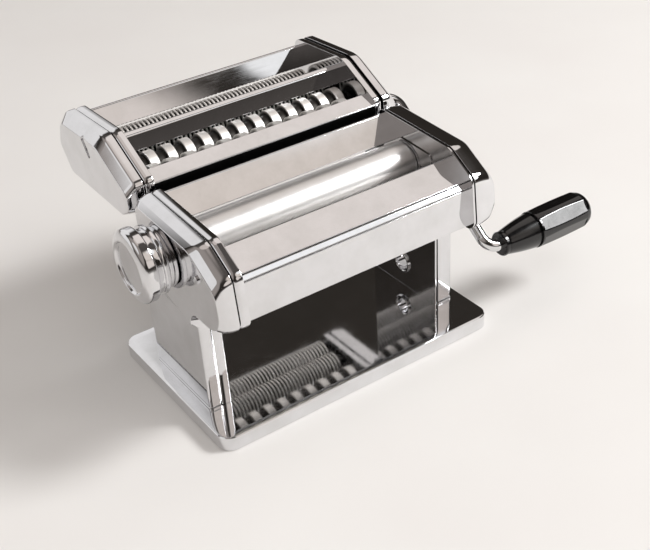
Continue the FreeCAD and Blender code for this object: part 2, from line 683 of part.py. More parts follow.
def crank_rod():
    """Bent round rod: square tip, top bend, arm, low bend and the pin of the grip."""
    top = V(CRANK_PLANE, WIDE_Y, CUTTER_Z)
    low = V(CRANK_PLANE, CRANK_END_Y, CRANK_END_Z)
    start = V(SQUARE_END, WIDE_Y, CUTTER_Z)
    end = V(GRIP_START + GRIP_LENGTH - GRIP_PLUG_LENGTH, CRANK_END_Y, CRANK_END_Z)
    arm = (low - top).normalize()
    along = V(1, 0, 0)
    edges = []
    place = start
    for corner, come, go, radius in ((top, along, arm, CRANK_TOP_BEND), (low, arm, along, CRANK_LOW_BEND)):
        enter = corner - come * radius
        leave = corner + go * radius
        centre = enter + go * radius
        middle = centre + (corner - centre).normalize() * radius
        edges.append(Part.makeLine(place, enter))
        edges.append(Part.Arc(enter, middle, leave).toShape())
        place = leave
    edges.append(Part.makeLine(place, end))
    profile = Part.Wire([Part.makeCircle(CRANK_RADIUS, start, along)])
    bent = Part.Wire(edges).makePipeShell([profile], True, False)
    half = SQUARE_TIP / 2.0
    tip = block(SQUARE_START, SQUARE_END, WIDE_Y - half, WIDE_Y + half, CUTTER_Z - half, CUTTER_Z + half)
    return bent.fuse(tip)


def grip():
    """Tapered grip with a collar, a ring groove and long flats, hollow for its pin."""
    x = GRIP_START
    neck = x + GRIP_NECK_LENGTH
    end = x + GRIP_LENGTH
    bore = CRANK_RADIUS + GRIP_CLEARANCE
    profile = [
        (x, bore), (x, GRIP_COLLAR_RADIUS), (x + 3.0, GRIP_COLLAR_RADIUS), (neck, GRIP_NECK_RADIUS),
        (neck, GRIP_NECK_RADIUS - GRIP_GROOVE), (neck + 1.2, GRIP_NECK_RADIUS - GRIP_GROOVE),
        (neck + 1.2, GRIP_NECK_RADIUS + 0.4), (end - 8.0, GRIP_BARREL_RADIUS), (end - 3.0, GRIP_BARREL_RADIUS - 0.6),
        (end - 0.8, GRIP_BARREL_RADIUS - 2.4), (end, GRIP_BARREL_RADIUS - 4.0),
        (end, GRIP_PLUG_RADIUS), (end - GRIP_PLUG_LENGTH + 1.0, GRIP_PLUG_RADIUS),
        (end - GRIP_PLUG_LENGTH + 1.0, bore),
    ]
    body = turned(profile, CRANK_END_Y, CRANK_END_Z)
    start_radius = GRIP_NECK_RADIUS + 0.4 - GRIP_FLAT / 3.0
    end_radius = GRIP_BARREL_RADIUS - GRIP_FLAT
    wedge_points = [V(neck + 6.0, 0, start_radius + 0.6), V(neck + 14.0, 0, start_radius + 0.5),
                    V(end - 10.0, 0, end_radius), V(end - 6.0, 0, end_radius + 0.8),
                    V(end - 6.0, 0, FAR / 10.0), V(neck + 6.0, 0, FAR / 10.0)]
    wedge = Part.Face(Part.makePolygon(wedge_points + [wedge_points[0]])).extrude(V(0, FAR / 10.0, 0))
    wedge.translate(V(0, CRANK_END_Y - FAR / 20.0, CRANK_END_Z))
    for i in range(GRIP_FLAT_COUNT):
        flat = wedge.copy()
        flat.rotate(V(0, CRANK_END_Y, CRANK_END_Z), V(1, 0, 0), 360.0 / GRIP_FLAT_COUNT * (i + 0.35))
        body = body.cut(flat)
    return body


def grip_plug():
    """Plug that closes the end of the grip."""
    end = GRIP_START + GRIP_LENGTH
    return rod(end - GRIP_PLUG_LENGTH + 1.0 + SLOT_CLEARANCE, end, CRANK_END_Y, CRANK_END_Z, GRIP_PLUG_RADIUS)


def scraper(y, z, angle):
    """Blade whose edge lies against a smooth roller, in the direction of an angle."""
    turn = math.radians(angle)
    reach = ROLLER_RADIUS + SCRAPER_GAP + SCRAPER_REACH / 2.0
    end = INNER_FACE
    return tilted_block(-end, end, y + reach * math.cos(turn), z + reach * math.sin(turn),
                        SCRAPER_REACH, SCRAPER_SHEET, angle)


def build():
    """All nodes by name."""
    nodes = {"base_plate": base_plate(), "base_screws": base_screws()}

    outer = outer_panel()
    inner = inner_panel()
    left_outer = mirrored(outer)
    left_inner = mirrored(inner)
    stud_hole = rod(-FAR, -OUTER_FACE + 2.0 * PANEL_WALL, STUD_Y, STUD_Z, STUD_RADIUS)
    spindle_hole = rod(-FAR, -SEAM, ROLLER_Y, ROLLER_Z, SPINDLE_RADIUS + JOURNAL_CLEARANCE)
    nodes["outer_panel_left"] = left_outer.cut(spindle_hole).cut(stud_hole)
    nodes["inner_panel_left"] = left_inner
    sleeve = rod(INNER_FACE, FAR, CLAMP_Y, CLAMP_Z, CLAMP_BORE + CLAMP_WALL)
    drive_hole = rod(SEAM, FAR, FRONT_ROLLER_Y, FRONT_ROLLER_Z, JOURNAL_RADIUS + SOCKET_FREE)
    nodes["outer_panel_right"] = outer.cut(drive_hole).cut(sleeve)
    nodes["inner_panel_right"] = inner.cut(sleeve)

    tube = rod(INNER_FACE - CLAMP_RIM_HEIGHT, LEG_FACE, CLAMP_Y, CLAMP_Z, CLAMP_BORE + CLAMP_WALL)
    rims = rod(INNER_FACE - CLAMP_RIM_HEIGHT, INNER_FACE, CLAMP_Y, CLAMP_Z, CLAMP_RIM)
    rims = rims.fuse(rod(LEG_FACE, LEG_FACE + CLAMP_RIM_HEIGHT, CLAMP_Y, CLAMP_Z, CLAMP_RIM))
    nodes["clamp_sleeve"] = tube.fuse(rims).cut(rod(0, FAR, CLAMP_Y, CLAMP_Z, CLAMP_BORE))

    nodes["support_bar"] = cross_bar(SUPPORT_Y, SUPPORT_Z)
    nodes["front_tie_rod"] = cross_bar(TIE_Y, TIE_Z)
    front_bush = bush(FRONT_ROLLER_Y, FRONT_ROLLER_Z, JOURNAL_RADIUS + JOURNAL_CLEARANCE, INNER_FACE)
    nodes["roller_bushes"] = Part.makeCompound([front_bush, mirrored(front_bush)])

    ends = (-INNER_FACE, INNER_FACE)
    nodes["front_deck"] = sheet([(APRON_Y, APRON_TOP), (DECK_EDGE_Y, DECK_EDGE_Z), (DECK_REAR_Y, DECK_REAR_Z),
                                 (DECK_REAR_Y + 1.0, DECK_REAR_Z - DECK_LIP)][::-1], DECK_SHEET, *ends)
    nodes["front_apron"] = sheet([(APRON_Y + 6.0, APRON_BOTTOM), (APRON_Y, APRON_BOTTOM + 1.0),
                                  (APRON_Y, APRON_TOP - DECK_SHEET)][::-1], DECK_SHEET, *ends)
    nodes["rear_deck"] = sheet([(REAR_DECK_Y, REAR_DECK_Z), (RIDGE_Y, RIDGE_Z),
                                (RIDGE_Y, RIDGE_Z - REAR_SKIRT)][::-1], DECK_SHEET, *ends)
    nodes["front_scraper"] = scraper(FRONT_ROLLER_Y, FRONT_ROLLER_Z, 215.0)
    nodes["rear_scraper"] = scraper(ROLLER_Y, ROLLER_Z, -30.0)

    right_end = ROLLER_GEAR_START + ROLLER_GEAR_WIDTH
    front = smooth_roller(FRONT_ROLLER_Y, FRONT_ROLLER_Z, JOURNAL_RADIUS, OUTER_FACE - PANEL_WALL)
    nodes["front_roller"] = front.cut(square_socket(FRONT_ROLLER_Y, FRONT_ROLLER_Z))
    nodes["rear_roller"] = smooth_roller(ROLLER_Y, ROLLER_Z, REAR_JOURNAL_RADIUS, right_end)
    sizes = (ROLLER_GEAR_TEETH, ROLLER_GEAR_PITCH, ROLLER_GEAR_TIP, ROLLER_GEAR_ROOT,
             ROLLER_GEAR_START, ROLLER_GEAR_WIDTH)
    front_gear = gear(*sizes, FRONT_ROLLER_Y, FRONT_ROLLER_Z, ROLLER_TILT)
    rear_gear = gear(*sizes, ROLLER_Y, ROLLER_Z, ROLLER_TILT + 180.0 + 180.0 / ROLLER_GEAR_TEETH)
    nodes["front_roller_gear"] = front_gear.cut(rod(0, FAR, FRONT_ROLLER_Y, FRONT_ROLLER_Z, JOURNAL_RADIUS))
    nodes["rear_roller_gear"] = rear_gear.cut(rod(0, FAR, ROLLER_Y, ROLLER_Z, REAR_JOURNAL_RADIUS))
    right_block = bearing_block()
    nodes["bearing_blocks"] = Part.makeCompound([right_block, mirrored(right_block)])

    plate = rod(-OUTER_FACE - INDEX_HEIGHT, -OUTER_FACE, ROLLER_Y, ROLLER_Z, INDEX_RADIUS)
    nodes["index_plate"] = plate.cut(spindle_hole)
    stud_end = -OUTER_FACE + PANEL_WALL
    nodes["index_stud"] = rod(-OUTER_FACE - STUD_HEIGHT, stud_end, STUD_Y, STUD_Z, STUD_RADIUS)
    nodes["adjuster_spindle"] = adjuster_spindle()
    nodes["knob"] = knob()

    nodes["cap_outer_left"], nodes["cap_outer_right"] = outer_caps()
    nodes["cap_inner_left"], nodes["cap_inner_right"] = inner_caps()
    nodes["cutter_bushes"] = cutter_bushes()
    nodes["front_guard"], nodes["divider"], nodes["back_guard"] = attachment_guards()
    nodes["hook_plates"] = hook_plates()
    nodes.update(cutters())

    nodes["crank_rod"] = crank_rod()
    nodes["grip"] = grip()
    nodes["grip_plug"] = grip_plug()
    return nodes


os.makedirs("parts", exist_ok=True)
for node_name, node_shape in build().items():
    node_shape.exportStep("parts/" + node_name + ".step")
    bad = "" if node_shape.isValid() else " not valid"
    print(node_name, len(node_shape.Solids), round(node_shape.Volume, 1), bad)
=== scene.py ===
"""Looks of a hand cranked pasta machine: chromed steel, satin rollers and a black grip."""
import logging
import math
from dataclasses import dataclass, field
from enum import Enum

import bmesh
import bpy
import numpy as np
from mathutils import Matrix, Vector


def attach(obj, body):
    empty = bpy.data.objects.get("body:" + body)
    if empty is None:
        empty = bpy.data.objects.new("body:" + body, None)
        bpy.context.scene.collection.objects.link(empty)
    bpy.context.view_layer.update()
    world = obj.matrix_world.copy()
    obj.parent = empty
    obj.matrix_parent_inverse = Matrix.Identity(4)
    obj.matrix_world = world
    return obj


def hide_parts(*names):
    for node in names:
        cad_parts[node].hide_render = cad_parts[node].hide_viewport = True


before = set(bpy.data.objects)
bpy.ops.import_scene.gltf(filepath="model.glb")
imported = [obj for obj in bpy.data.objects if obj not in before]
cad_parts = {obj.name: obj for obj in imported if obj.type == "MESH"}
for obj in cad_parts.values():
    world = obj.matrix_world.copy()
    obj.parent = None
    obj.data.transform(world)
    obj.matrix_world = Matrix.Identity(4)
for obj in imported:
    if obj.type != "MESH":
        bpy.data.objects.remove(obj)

LOG = logging.getLogger("pasta_machine")
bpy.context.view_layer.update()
MM = 0.001
IMAGE_WIDTH = 650
IMAGE_HEIGHT = 550
SENSOR_WIDTH = 36.0
RIDGE_SHARE = "ridge_share"
# Edges that turn more than this stay sharp.
SHARP_DEG = 32.0
# Points nearer than this, in metres, are one point.
SAME_PLACE = 1e-7
# Distance in millimetres that a cutting tool passes a face, and reach of a rounding on its run.
THROUGH = 1.0
ROUND_SHARE = 0.45
Pair = tuple[float, float]
Triple = tuple[float, float, float]
Tones = tuple[tuple[float, str], ...]
Socket = bpy.types.NodeSocket
Material = bpy.types.Material
Piece = bpy.types.Object


class Body(Enum):
    """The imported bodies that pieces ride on."""

    FRAME = "frame"
    FRONT_ROLLER = "front_roller"
    REAR_ROLLER = "rear_roller"
    KNOB = "knob"
    ATTACHMENT = "attachment"
    WIDE_FRONT = "wide_front"
    WIDE_REAR = "wide_rear"
    FINE_FRONT = "fine_front"
    FINE_REAR = "fine_rear"
    CRANK = "crank"
    GRIP = "grip"


class Side(Enum):
    """The two sides of the machine, as a sign along X."""

    LEFT = -1.0
    RIGHT = 1.0


def hex_to_linear(code: str) -> tuple[float, float, float, float]:
    """Turns an sRGB hex colour with its hash sign into linear red, green, blue and an alpha of 1."""
    levels = np.array([int(code[i:i + 2], 16) for i in (1, 3, 5)]) / 255.0
    linear = np.where(levels <= 0.04045, levels / 12.92, ((levels + 0.055) / 1.055) ** 2.4)
    return (*[float(level) for level in linear], 1.0)


@dataclass
class Nodes:
    """A node tree that is cleared and then filled by short calls.

    Args:
        tree: The tree.
        space: Name of the coordinates that it reads.
    """

    tree: bpy.types.NodeTree
    space: str
    place: Socket = field(init=False)

    def __post_init__(self) -> None:
        """Clears the tree and adds its coordinates."""
        self.tree.nodes.clear()
        self.place = self.add("ShaderNodeTexCoord").outputs[self.space]

    def add(self, kind: str, links: dict | None = None, **settings) -> bpy.types.Node:
        """Adds a node.

        Args:
            kind: The node's type name.
            links: Input names or numbers, each with a socket to link or a value to set.
            settings: Attributes of the node.

        Returns:
            The new node.
        """
        node = self.tree.nodes.new(kind)
        for name, value in settings.items():
            setattr(node, name, value)
        for name, value in (links or {}).items():
            if isinstance(value, Socket):
                self.tree.links.new(value, node.inputs[name])
            else:
                node.inputs[name].default_value = value
        return node

    def ramp(self, factor: Socket, tones: Tones) -> Socket:
        """Returns a colour for a factor, from places with hex colours."""
        node = self.add("ShaderNodeValToRGB", {"Fac": factor})
        elements = node.color_ramp.elements
        while len(elements) < len(tones):
            elements.new(0.5)
        for element, (place, code) in zip(elements, tones):
            element.position = place
            element.color = hex_to_linear(code)
        return node.outputs["Color"]

    def mix(self, share: Socket, low: Socket | tuple, high: Socket | tuple) -> Socket:
        """Returns the mix of two colours by a share."""
        return self.add("ShaderNodeMix", {"Factor": share, 6: low, 7: high}, data_type="RGBA").outputs[2]

    def noise(self, size_mm: float, detail: float, roughness: float = 0.5,
              place: Socket | None = None) -> Socket:
        """Adds a cloudy noise.

        Args:
            size_mm: Size of its spots.
            detail: Number of finer layers.
            roughness: Strength of the finer layers.
            place: Where it is read, where that isn't the tree's place.

        Returns:
            The noise, about 0 to 1.
        """
        links = {"Vector": place or self.place, "Scale": 1.0 / (size_mm * MM), "Detail": detail,
                 "Roughness": roughness}
        return self.add("ShaderNodeTexNoise", links).outputs["Fac"]

    def squeezed(self, scale: Triple) -> Socket:
        """Returns the place, scaled along each axis."""
        return self.add("ShaderNodeMapping", {"Vector": self.place, "Scale": scale}).outputs["Vector"]

    def mapped(self, value: Socket, old: Pair, new: Pair = (0.0, 1.0), ease: str = "LINEAR") -> Socket:
        """Maps one range onto another.

        Args:
            value: The value.
            old: Its range.
            new: The range wanted.
            ease: How it goes from one end to the other.

        Returns:
            The mapped value.
        """
        links = {"Value": value, "From Min": old[0], "From Max": old[1], "To Min": new[0], "To Max": new[1]}
        return self.add("ShaderNodeMapRange", links, interpolation_type=ease).outputs["Result"]

    def bump(self, height: Socket, strength: float, height_mm: float,
             under: Socket | None = None) -> Socket:
        """Turns a height into a normal.

        Args:
            height: A value from 0 to 1.
            strength: Share of the bump that is seen.
            height_mm: Height that 1 stands for.
            under: A normal below it.

        Returns:
            The normal.
        """
        links = {"Height": height, "Strength": strength, "Distance": height_mm * MM}
        if under is not None:
            links["Normal"] = under
        return self.add("ShaderNodeBump", links).outputs["Normal"]


@dataclass(frozen=True)
class Finish:
    """A material; its kinds say what goes into the shader."""

    name: str

    def inputs(self, nodes: Nodes) -> dict[str, Socket | float]:
        """Returns the shader's inputs by name."""
        raise NotImplementedError

    def build(self) -> Material:
        """Returns the node material."""
        material = bpy.data.materials.new(self.name)
        material.use_nodes = True
        nodes = Nodes(material.node_tree, "Object")
        shader = nodes.add("ShaderNodeBsdfPrincipled", self.inputs(nodes))
        nodes.add("ShaderNodeOutputMaterial", {"Surface": shader.outputs["BSDF"]})
        return material


@dataclass(frozen=True)
class PolishedMetal(Finish):
    """A plated or polished sheet metal with faint waves, wipe marks and fine scratches."""

    colour: str
    worn_colour: str
    roughness: float
    roughness_spread: float
    wave_mm: float = 42.0
    wave_height_mm: float = 0.012
    wipe_mm: float = 18.0
    scratch_mm: float = 0.9
    scratch_height_mm: float = 0.004
    scratch_squeeze: float = 0.06

    def inputs(self, nodes: Nodes) -> dict[str, Socket | float]:
        """Returns the shader's inputs by name."""
        smudge = nodes.noise(self.wipe_mm, 5.0, 0.6)
        scratch = nodes.noise(self.scratch_mm, 3.0, place=nodes.squeezed((self.scratch_squeeze, 1.0, 1.0)))
        wear = nodes.add("ShaderNodeMath", {0: smudge, 1: scratch}, operation="MULTIPLY").outputs["Value"]
        wave = nodes.bump(nodes.noise(self.wave_mm, 1.0), 1.0, self.wave_height_mm)
        return {
            "Base Color": nodes.ramp(smudge, ((0.3, self.worn_colour), (0.62, self.colour))),
            "Roughness": nodes.mapped(wear, (0.12, 0.42),
                                      (self.roughness, self.roughness + self.roughness_spread)),
            "Normal": nodes.bump(scratch, 0.12, self.scratch_height_mm, wave),
            "Metallic": 1.0}


@dataclass(frozen=True)
class TurnedMetal(Finish):
    """A metal turned on a lathe about X: rings of fine grooves, and shade in the grooves of a cutter."""

    colour: str
    dark_colour: str
    roughness: float
    groove_colour: str = ""
    ring_mm: float = 1.5
    ring_height_mm: float = 0.0006
    ring_squeeze: float = 0.03
    cloud_mm: float = 50.0 / 3.0

    def inputs(self, nodes: Nodes) -> dict[str, Socket | float]:
        """Returns the shader's inputs by name."""
        squeeze = self.ring_squeeze
        rings = nodes.noise(self.ring_mm, 4.0, place=nodes.squeezed((1.0, squeeze, squeeze)))
        tint = nodes.ramp(nodes.noise(self.cloud_mm, 4.0), ((0.3, self.dark_colour), (0.65, self.colour)))
        if self.groove_colour:
            ridge = nodes.add("ShaderNodeAttribute", attribute_name=RIDGE_SHARE).outputs["Fac"]
            tint = nodes.mix(ridge, hex_to_linear(self.groove_colour), tint)
        return {
            "Base Color": tint,
            "Roughness": nodes.mapped(rings, (0.3, 0.7), (self.roughness * 0.92, self.roughness * 1.08)),
            "Normal": nodes.bump(rings, 0.2, self.ring_height_mm),
            "Metallic": 1.0}


@dataclass(frozen=True)
class MouldedPlastic(Finish):
    """A moulded plastic with slight flow marks and handling wear."""

    colour: str
    worn_colour: str
    roughness: float
    coat: float = 0.0
    wear_mm: float = 100.0 / 9.0
    wear_spread: float = 0.14
    grain_mm: float = 0.6
    grain_height_mm: float = 0.01

    def inputs(self, nodes: Nodes) -> dict[str, Socket | float]:
        """Returns the shader's inputs by name."""
        wear = nodes.noise(self.wear_mm, 6.0, 0.65)
        return {
            "Base Color": nodes.ramp(wear, ((0.35, self.colour), (0.8, self.worn_colour))),
            "Roughness": nodes.mapped(wear, (0.35, 0.75),
                                      (self.roughness, self.roughness + self.wear_spread)),
            "Normal": nodes.bump(nodes.noise(self.grain_mm, 3.0), 0.3, self.grain_height_mm),
            "Coat Weight": self.coat,
            "Coat Roughness": 0.06}


@dataclass(frozen=True)
class MattPaint(Finish):
    """A matt paint in two close tones."""

    tones: Tones
    spot_mm: float
    roughness: float = 0.6

    def inputs(self, nodes: Nodes) -> dict[str, Socket | float]:
        """Returns the shader's inputs by name."""
        return {"Base Color": nodes.ramp(nodes.noise(self.spot_mm, 3.0), self.tones),
                "Roughness": self.roughness}


@dataclass(frozen=True)
class Finishes:
    """All finishes of the machine, each made once."""

    # Chromium plate on pressed steel: a cold mirror, softened by wipe marks.
    chrome: Material = field(default_factory=PolishedMetal(
        "chromium_plate_polished", "#E2E2E4", "#D9D9DA", 0.03, 0.05).build)
    # Anodised aluminium rollers: a soft, silky sheen without a sharp reflection.
    satin: Material = field(default_factory=TurnedMetal(
        "aluminium_anodised_satin", "#E6E5E4", "#DEDDDC", 0.37).build)
    # Machined steel cutters: brighter than the rollers, with shade in their grooves.
    cutter: Material = field(default_factory=TurnedMetal(
        "steel_turned_cutter", "#F4F2EF", "#EBE9E6", 0.48, "#3A3836").build)
    # Painted shade: a near-black steel on the seams' necks and the front guard's skirt, where the gaps lie in
    # shade: thin dark lines.
    painted_gap_shade: Material = field(default_factory=PolishedMetal(
        "seam_and_skirt_painted_shade", "#141415", "#1E1E1F", 0.35, 0.1).build)
    # Zinc plated bars, gears and screws: duller and greyer than the shell.
    plated: Material = field(default_factory=PolishedMetal(
        "steel_zinc_plated", "#B4B5B7", "#9A9B9D", 0.22, 0.16).build)
    # Thermoset grip: deep black with a wet gloss.
    black: Material = field(default_factory=MouldedPlastic(
        "phenolic_black_gloss", "#060607", "#0E0E0F", 0.1, 0.25).build)
    # Acetal bushes and scrapers: waxy off-white.
    acetal: Material = field(default_factory=MouldedPlastic(
        "acetal_natural", "#DEDAD0", "#C9C4B8", 0.42).build)


@dataclass(frozen=True)
class Outline:
    """A closed outline with rounded corners.

    Args:
        corners: Two coordinates and a radius for each corner, in millimetres.
        arc_steps: Points on each rounded corner.
        least_radius: Radius below which no corner shrinks.
    """

    corners: list[Triple]
    arc_steps: int = 9
    least_radius: float = 0.02

    def ring(self, inset: float) -> np.ndarray:
        """Returns the outline's points, anticlockwise and moved inwards by an inset.

        Each corner moves along its mitre, and its arc, tangent to both sides, shrinks or grows with it.
        """
        corner, radius = np.array(self.corners, float)[:, :2], np.array(self.corners, float)[:, 2]
        after = np.roll(corner, -1, 0)
        if np.sum(corner[:, 0] * after[:, 1] - after[:, 0] * corner[:, 1]) < 0:
            corner, radius = corner[::-1], radius[::-1]
        go = np.roll(corner, -1, 0) - corner
        go /= np.linalg.norm(go, axis=1, keepdims=True)
        come = np.roll(go, 1, 0)
        left, before = (np.stack([-step[:, 1], step[:, 0]], 1) for step in (go, come))
        mitre = (before + left) / (1.0 + np.sum(before * left, axis=1, keepdims=True))
        turn = np.arctan2(come[:, 0] * go[:, 1] - come[:, 1] * go[:, 0], np.sum(come * go, axis=1))
        sign = np.sign(turn)
        radius = np.maximum(radius - sign * inset, self.least_radius)
        back = come * (radius * np.tan(np.abs(turn) / 2.0))[:, None]
        inward = before * sign[:, None]
        centre = corner + mitre * inset - back + inward * radius[:, None]
        angle = turn[:, None] * np.linspace(0.0, 1.0, self.arc_steps)[None]
        cos, sin = np.cos(angle), np.sin(angle)
        x, y = -inward[:, :1], -inward[:, 1:]
        arc = np.stack([x * cos - y * sin, x * sin + y * cos], -1)
        return (centre[:, None] + arc * radius[:, None, None]).reshape(-1, 2)


def rectangle(low: Pair, high: Pair, radii: Pair, arc_steps: int) -> Outline:
    """Outline of a rectangle.

    Args:
        low: The first corner.
        high: The corner across from it.
        radii: Radius of the corners on the first and on the other side along the first axis.
        arc_steps: Points on each rounded corner.

    Returns:
        The outline.
    """
    return Outline([(low[0], low[1], radii[0]), (high[0], low[1], radii[1]),
                    (high[0], high[1], radii[1]), (low[0], high[1], radii[0])], arc_steps)


def moved_corners(corners: list[Triple], insets: list[float]) -> list[Triple]:
    """Moves each edge of an outline inwards by its own distance.

    Each new corner is where the two moved edges beside it cross.

    Args:
        corners: Two coordinates and a radius for each corner, clockwise in Y and Z.
        insets: Distance for the edge that starts at each corner.

    Returns:
        The new corners with the same radii.
    """
    corner = np.array([c[:2] for c in corners], float)
    step = np.roll(corner, -1, 0) - corner
    inward = np.stack([step[:, 1], -step[:, 0]], 1) / np.linalg.norm(step, axis=1, keepdims=True)
    start = corner + inward * np.array(insets, float)[:, None]
    before, last = np.roll(start, 1, 0), np.roll(step, 1, 0)
    gap = start - before
    slant = last[:, 0] * step[:, 1] - last[:, 1] * step[:, 0]
    reach = (gap[:, 0] * step[:, 1] - gap[:, 1] * step[:, 0]) / slant
    place = before + last * reach[:, None]
    return [(float(y), float(z), c[2]) for (y, z), c in zip(place, corners)]


def softened(profile: list[tuple], radius: float, steps: int = 4) -> np.ndarray:
    """Rounds all inner corners of an open profile with quadratic curves.

    Args:
        profile: Points of the profile, with any number of columns.
        radius: Largest reach of a rounding.
        steps: Points on each rounding.

    Returns:
        The denser profile.
    """
    rows = np.array(profile, float)
    made = [rows[0]]
    t = np.linspace(0.0, 1.0, steps)[:, None]
    for before, corner, after in zip(rows, rows[1:], rows[2:]):
        come, go = np.linalg.norm(before - corner), np.linalg.norm(after - corner)
        reach = min(radius, come * ROUND_SHARE, go * ROUND_SHARE)
        start = corner + (before - corner) / come * reach
        end = corner + (after - corner) / go * reach
        made += list((1.0 - t) ** 2 * start + 2.0 * t * (1.0 - t) * corner + t ** 2 * end)
    made.append(rows[-1])
    return np.array(made)


def shade(mesh: bpy.types.Mesh) -> None:
    """Shades a mesh smooth, apart from its sharp edges."""
    mesh.shade_smooth()
    mesh.set_sharp_from_angle(angle=math.radians(SHARP_DEG))


def grid_mesh(name: str, grid: np.ndarray, caps: tuple[bool, bool] = (True, True)) -> Piece:
    """Makes a piece from a grid of points whose columns close round.

    Args:
        name: The piece's name.
        grid: Rows by columns by three, in millimetres.
        caps: Whether the first and the last row are closed by a face.

    Returns:
        The piece, linked to the scene, with outward faces and face-weighted normals.
    """
    rows, cols = grid.shape[:2]
    index = np.arange(rows * cols).reshape(rows, cols)
    a, b = index[:-1], index[1:]
    faces = np.stack([a, np.roll(a, -1, 1), np.roll(b, -1, 1), b], -1).reshape(-1, 4).tolist()
    if caps[0]:
        faces.append(index[0][::-1].tolist())
    if caps[1]:
        faces.append(index[-1].tolist())
    mesh = bpy.data.meshes.new(name)
    mesh.from_pydata((grid.reshape(-1, 3) * MM).tolist(), [], faces)
    work = bmesh.new()
    work.from_mesh(mesh)
    bmesh.ops.remove_doubles(work, verts=work.verts, dist=SAME_PLACE)
    bmesh.ops.dissolve_degenerate(work, edges=work.edges, dist=SAME_PLACE)
    bmesh.ops.recalc_face_normals(work, faces=work.faces)
    work.to_mesh(mesh)
    work.free()
    shade(mesh)
    piece = bpy.data.objects.new(name, mesh)
    bpy.context.scene.collection.objects.link(piece)
    piece.modifiers.new("face_weighted_normals", "WEIGHTED_NORMAL").keep_sharp = True
    return piece


def stacked(name: str, outline: Outline, profile: np.ndarray, axis: str = "x") -> Piece:
    """Carries an outline along an axis while it shrinks by an inset.

    Args:
        name: The object's name.
        outline: The outline in the two other axes.
        profile: Rows of inset and place along the axis.
        axis: The axis, x or z.

    Returns:
        The object.
    """
    rings = np.stack([outline.ring(inset) for inset, _ in profile])
    along = np.broadcast_to(profile[:, 1][:, None, None], (*rings.shape[:2], 1))
    order = (along, rings) if axis == "x" else (rings, along)
    return grid_mesh(name, np.concatenate(order, -1))


def lofted(name: str, near: Outline, far: Outline, profile: np.ndarray) -> Piece:
    """Carries one outline along X while it turns into another.

    Args:
        name: The object's name.
        near: The outline where the share is 0.
        far: The outline where the share is 1.
        profile: Rows of share, inset and place along X.

    Returns:
        The object.
    """
    rings = np.stack([near.ring(inset) * (1.0 - share) + far.ring(inset) * share
                      for share, inset, _ in profile])
    along = np.broadcast_to(profile[:, 2][:, None, None], (*rings.shape[:2], 1))
    return grid_mesh(name, np.concatenate((along, rings), -1))


def drilled(piece: Piece, *tools: Piece) -> Piece:
    """Cuts the tools out of a piece and deletes them.

    Args:
        piece: The piece.
        tools: Closed shapes to take away.

    Returns:
        The same piece with its new mesh.
    """
    for tool in tools:
        cut = piece.modifiers.new("cut", "BOOLEAN")
        cut.operation = "DIFFERENCE"
        cut.solver = "EXACT"
        cut.object = tool
        piece.modifiers.move(len(piece.modifiers) - 1, 0)
        bpy.context.view_layer.update()
        weights = [m for m in piece.modifiers if m.type == "WEIGHTED_NORMAL"]
        for modifier in weights:
            modifier.show_viewport = False
        mesh = bpy.data.meshes.new_from_object(piece.evaluated_get(bpy.context.evaluated_depsgraph_get()))
        for modifier in weights:
            modifier.show_viewport = True
        piece.modifiers.remove(cut)
        old = piece.data
        mesh.name = piece.name
        piece.data = mesh
        bpy.data.meshes.remove(old)
        bpy.data.objects.remove(tool)
    shade(piece.data)
    return piece


def bore(centre: Pair, radius: float, start: float, end: float) -> Piece:
    """Returns a round tool along X for drilled()."""
    profile = np.array([(start, 0.0), (start, radius), (end, radius), (end, 0.0)])
    return turned("bore_tool", profile, centre, 72)


def square_bore(centre: Pair, side: float, start: float, end: float) -> Piece:
    """Returns a square tool along X for drilled()."""
    return stacked("square_tool", square(centre, side / 2.0, 0.0, 2), np.array([(0.0, start), (0.0, end)]))


def square(centre: Pair, half: float, radius: float, arc_steps: int) -> Outline:
    """Returns the outline of a square about a centre."""
    y, z = centre
    return rectangle((y - half, z - half), (y + half, z + half), (radius, radius), arc_steps)


def turned(name: str, profile: np.ndarray, centre: Pair, segments: int = 96,
           caps: tuple[bool, bool] = (True, True)) -> Piece:
    """Turns a profile about an axis along X.

    Args:
        name: The object's name.
        profile: Rows of place along X and radius.
        centre: Y and Z of the axis.
        segments: Steps round the axis.
        caps: Whether the two ends are closed, which a profile that closes on itself leaves out.

    Returns:
        The object.
    """
    angle = np.linspace(0.0, 2.0 * math.pi, segments, endpoint=False)
    x = np.broadcast_to(profile[:, 0][:, None], (len(profile), segments))
    y = centre[0] + profile[:, 1][:, None] * np.cos(angle)
    z = centre[1] + profile[:, 1][:, None] * np.sin(angle)
    return grid_mesh(name, np.stack([x, y, z], -1), caps)


def sheet_outline(points: tuple[Pair, ...], thickness: float, bend: float) -> Outline:
    """Cross-section of a folded sheet, thickened to the left of its points.

    Args:
        points: Y and Z of the folds.
        thickness: The sheet's thickness.
        bend: Outer radius of the folds.

    Returns:
        The closed outline.
    """
    path = np.array(points, float)
    step = np.diff(path, axis=0)
    step /= np.linalg.norm(step, axis=1, keepdims=True)
    left = np.stack([-step[:, 1], step[:, 0]], 1)
    before = np.concatenate([left[:1], left])
    after = np.concatenate([left, left[-1:]])
    normal = (before + after) / 2.0
    moved = path + normal * (thickness / np.sum(normal ** 2, axis=1, keepdims=True))
    ends = thickness * 0.35
    radii = [ends] + [bend] * (len(path) - 2) + [ends]
    inner = [ends] + [max(bend - thickness, 0.2)] * (len(path) - 2) + [ends]
    front = [(y, z, r) for (y, z), r in zip(path.tolist(), radii)]
    back = [(y, z, r) for (y, z), r in zip(moved.tolist(), inner)]
    return Outline(front + back[::-1], 6)


